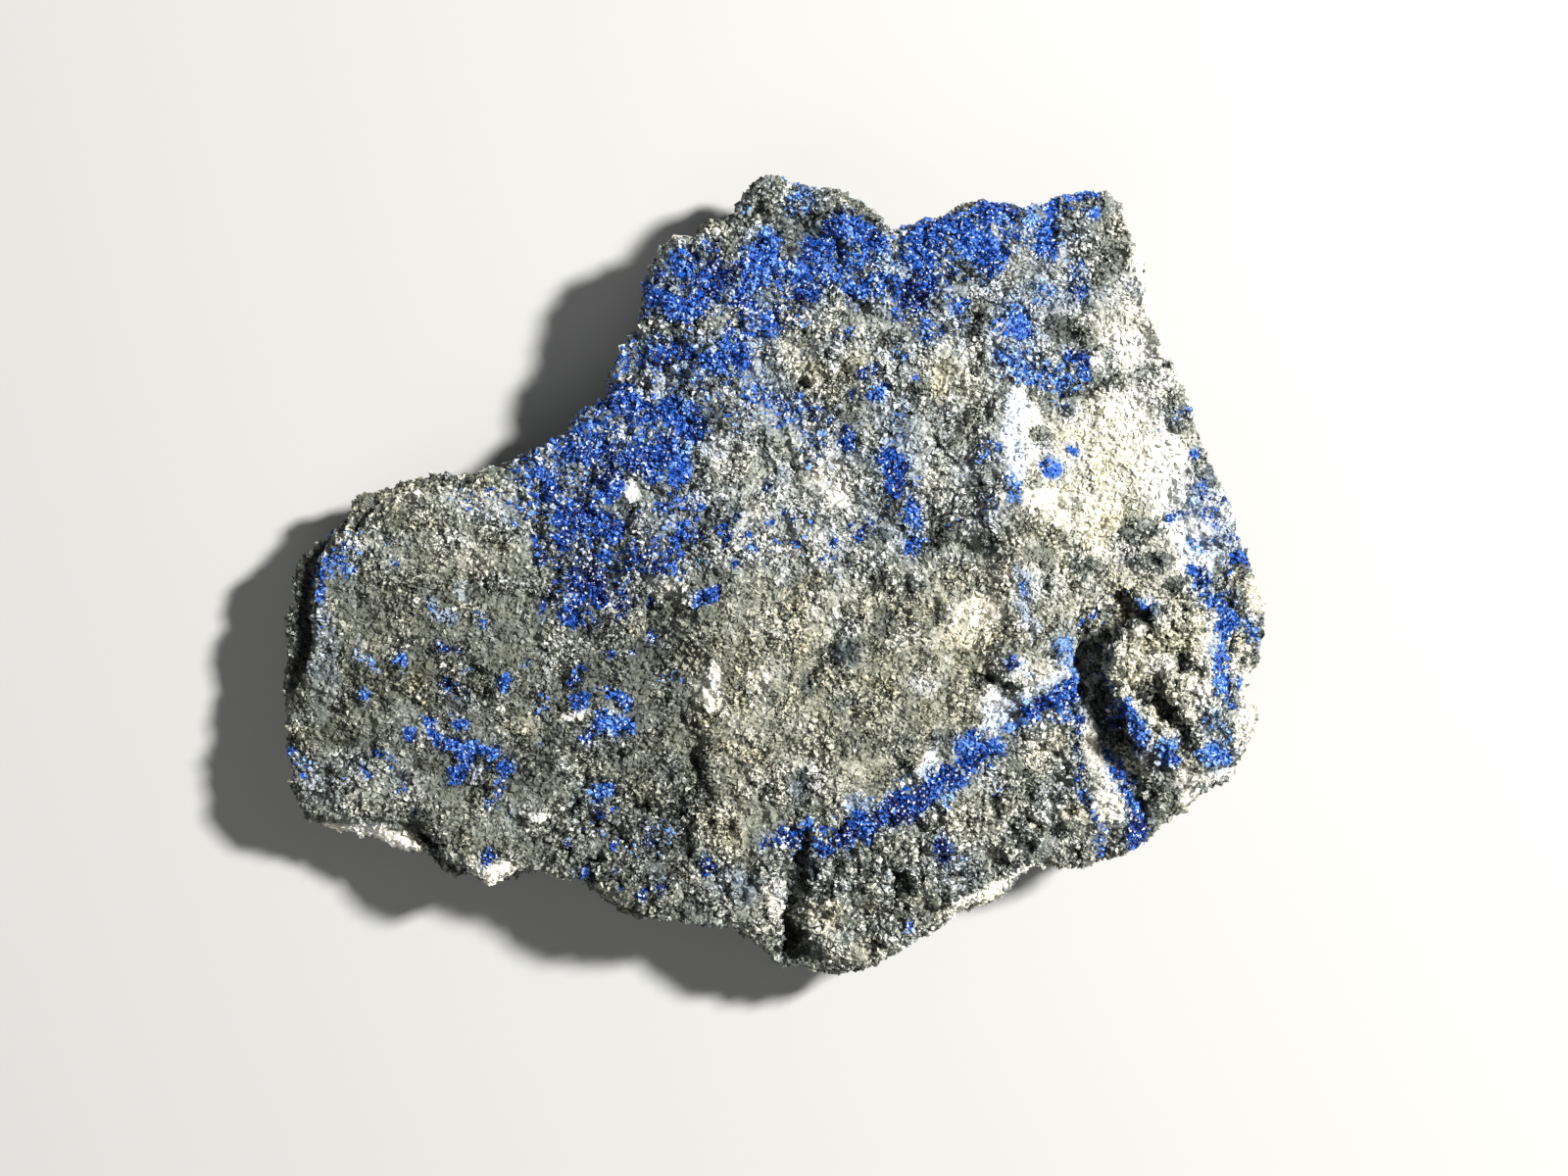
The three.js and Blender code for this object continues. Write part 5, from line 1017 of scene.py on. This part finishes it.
class SPECIMEN_OT_grains(SpecimenOperator, bpy.types.Operator):
    """Cover the body with brucite, calcite and callaghanite crystals"""

    bl_idname = "specimen.grains"
    bl_label = "Crystals"

    def execute(self, context):
        sizes = context.scene.specimen_sizes
        colours = context.scene.specimen_colours
        rng = np.random.default_rng(SEED)
        body = bpy.data.objects["marble_body"].data
        places, normals = scattered(body, sizes.face_density, sizes.side_density, sizes.under_density, rng)
        tone, warmth, blue, shade = marble_zones(places, np.array([v.co for v in body.vertices]) / MM)
        rough = roughness_of(places)
        grit = grit_of(places, rough, tone, blue)
        cover = SMOOTH_COVER + (1 - SMOOTH_COVER) * grit
        kept = (rng.uniform(0, 1, len(places)) < cover) | (normals[:, 2] < FACE_UP)
        places, normals, tone, warmth, blue, shade, rough, grit = (
            values[kept] for values in (places, normals, tone, warmth, blue, shade, rough, grit))
        count = len(places)

        # Which crystals are blue: by chance, and in small clumps
        clumps = noise_at(places, "clumps")
        flecks = np.clip(0.5 + 0.8 * clumps + 0.5 * noise_at(places, "blue"), 0, 1)
        is_blue = (1 - CLUMPING) * rng.uniform(0, 1, count) + CLUMPING * flecks < blue

        # Tones spread from grain to grain and in clouds, and grains in pits are darkened as painted shade.
        # White places are calmer.
        speckle = (0.3 + 0.9 * grit) * np.sqrt(rough) * (0.14 + 0.12 * blue)
        spread = speckle * rng.normal(0, 1, count) + 0.16 * noise_at(places, "tone")
        spread += (0.03 + 0.12 * grit) * clumps - 0.5 * grit * np.minimum(rough, 1.2) * pitted(places)
        tone += (1 - 0.8 * smooth(tone, 0.72, 0.92)) * spread + 0.035 + 0.06 * grit * rough

        widths = sizes.grain * np.clip(np.exp(rng.normal(0, WIDTH_SPREAD, count)), *WIDTH_LIMITS)
        shade = 0.9 * shade + 0.18 * rng.normal(0, 1, count) + 0.42 * noise_at(places, "shade")
        warmth += 0.6 * noise_at(places, "warmth") + 0.15 * rng.normal(0, 1, count)
        stored = {"tone": tone, "warmth": warmth, "shade": shade,
                  "glint": rng.uniform(0, 1, count) ** 2, "grit": grit}

        marble, callaghanite = crystal_marble(colours), crystal_blue(colours)
        on_face = normals[:, 2] > FACE_UP
        under = normals[:, 2] < UNDER_UP
        thirds = np.quantile(places[on_face & ~is_blue, 0], (1 / 3, 2 / 3))
        west, east = places[:, 0] < thirds[0], places[:, 0] > thirds[1]
        groups = {
            "callaghanite_grains": (is_blue, callaghanite, sizes.vein_swell),
            "marble_grains_west": (on_face & ~is_blue & west, marble, 1.0),
            "marble_grains_middle": (on_face & ~is_blue & ~west & ~east, marble, 1.0),
            "marble_grains_east": (on_face & ~is_blue & east, marble, 1.0),
            "marble_grains_sides": (~on_face & ~under & ~is_blue, marble, SIDE_SWELL),
            "marble_grains_underside": (under & ~is_blue, marble, UNDER_SWELL),
        }
        for name, (mine, material, swell) in groups.items():
            chosen = {number: values[mine] for number, values in stored.items()}
            joined_grains(name, places[mine], normals[mine], swell * widths[mine], chosen, material, rng)
        return {"FINISHED"}


class SPECIMEN_OT_stage(SpecimenOperator, bpy.types.Operator):
    """Lay the pale floor, the soft studio light and the camera that looks straight down"""

    bl_idname = "specimen.stage"
    bl_label = "Stage"

    def execute(self, context):
        scene = context.scene
        # Matt paper: no shine, and a little grey, so that white marble stands out from it
        material, tree = new_material("Matt pale paper floor")
        shader = add_node(tree, "ShaderNodeBsdfPrincipled",
                          {"Base Color": scene.specimen_colours.floor, "Roughness": 0.9})
        add_node(tree, "ShaderNodeOutputMaterial", {"Surface": shader.outputs[0]})
        bm = bmesh.new()
        bmesh.ops.create_grid(bm, x_segments=1, y_segments=1, size=FLOOR_HALF)
        mesh = bpy.data.meshes.new("floor")
        bm.to_mesh(mesh)
        bm.free()
        mesh.materials.append(material)
        floor = bpy.data.objects.new("floor", mesh)
        scene.collection.objects.link(floor)
        for name, place, size, power in LIGHTS:
            lamp = bpy.data.lights.new(name, "AREA")
            lamp.size = size
            lamp.energy = power
            light = bpy.data.objects.new(name, lamp)
            light.location = place
            light.rotation_euler = (-Vector(place)).to_track_quat("-Z", "Y").to_euler()
            scene.collection.objects.link(light)
        world = bpy.data.worlds.new("studio")
        world.use_nodes = True
        background = world.node_tree.nodes["Background"]
        background.inputs["Color"].default_value = linear(SKY_COLOUR)
        background.inputs["Strength"].default_value = SKY_STRENGTH
        scene.world = world
        camera = bpy.data.objects.new("camera", bpy.data.cameras.new("camera"))
        camera.data.lens = LENS_MM
        camera.data.clip_end = CAMERA_REACH
        camera.location = CAMERA_PLACE
        scene.collection.objects.link(camera)
        scene.camera = camera
        scene.view_settings.view_transform = "Standard"
        return {"FINISHED"}


class SPECIMEN_PT_panel(bpy.types.Panel):
    """The specimen's steps and settings"""

    bl_label = "Callaghanite specimen"
    bl_idname = "SPECIMEN_PT_panel"
    bl_space_type = "VIEW_3D"
    bl_region_type = "UI"
    bl_category = "Specimen"

    def draw(self, context):
        for step in STEPS:
            self.layout.operator(step.bl_idname)
        for settings in (context.scene.specimen_sizes, context.scene.specimen_colours):
            for name in settings.bl_rna.properties.keys():
                if name not in ("rna_type", "name"):
                    self.layout.prop(settings, name)


STEPS = (SPECIMEN_OT_stage, SPECIMEN_OT_body, SPECIMEN_OT_grains)
CLASSES = (SpecimenSizes, SpecimenColours, *STEPS, SPECIMEN_PT_panel)


def register():
    for cls in CLASSES:
        bpy.utils.register_class(cls)
    bpy.types.Scene.specimen_sizes = bpy.props.PointerProperty(type=SpecimenSizes)
    bpy.types.Scene.specimen_colours = bpy.props.PointerProperty(type=SpecimenColours)


def unregister():
    del bpy.types.Scene.specimen_colours
    del bpy.types.Scene.specimen_sizes
    for cls in reversed(CLASSES):
        bpy.utils.unregister_class(cls)


def main():
    """Builds the whole scene."""
    register()
    bpy.ops.specimen.stage()
    bpy.ops.specimen.body()
    bpy.ops.specimen.grains()


if __name__ == "__main__":
    main()
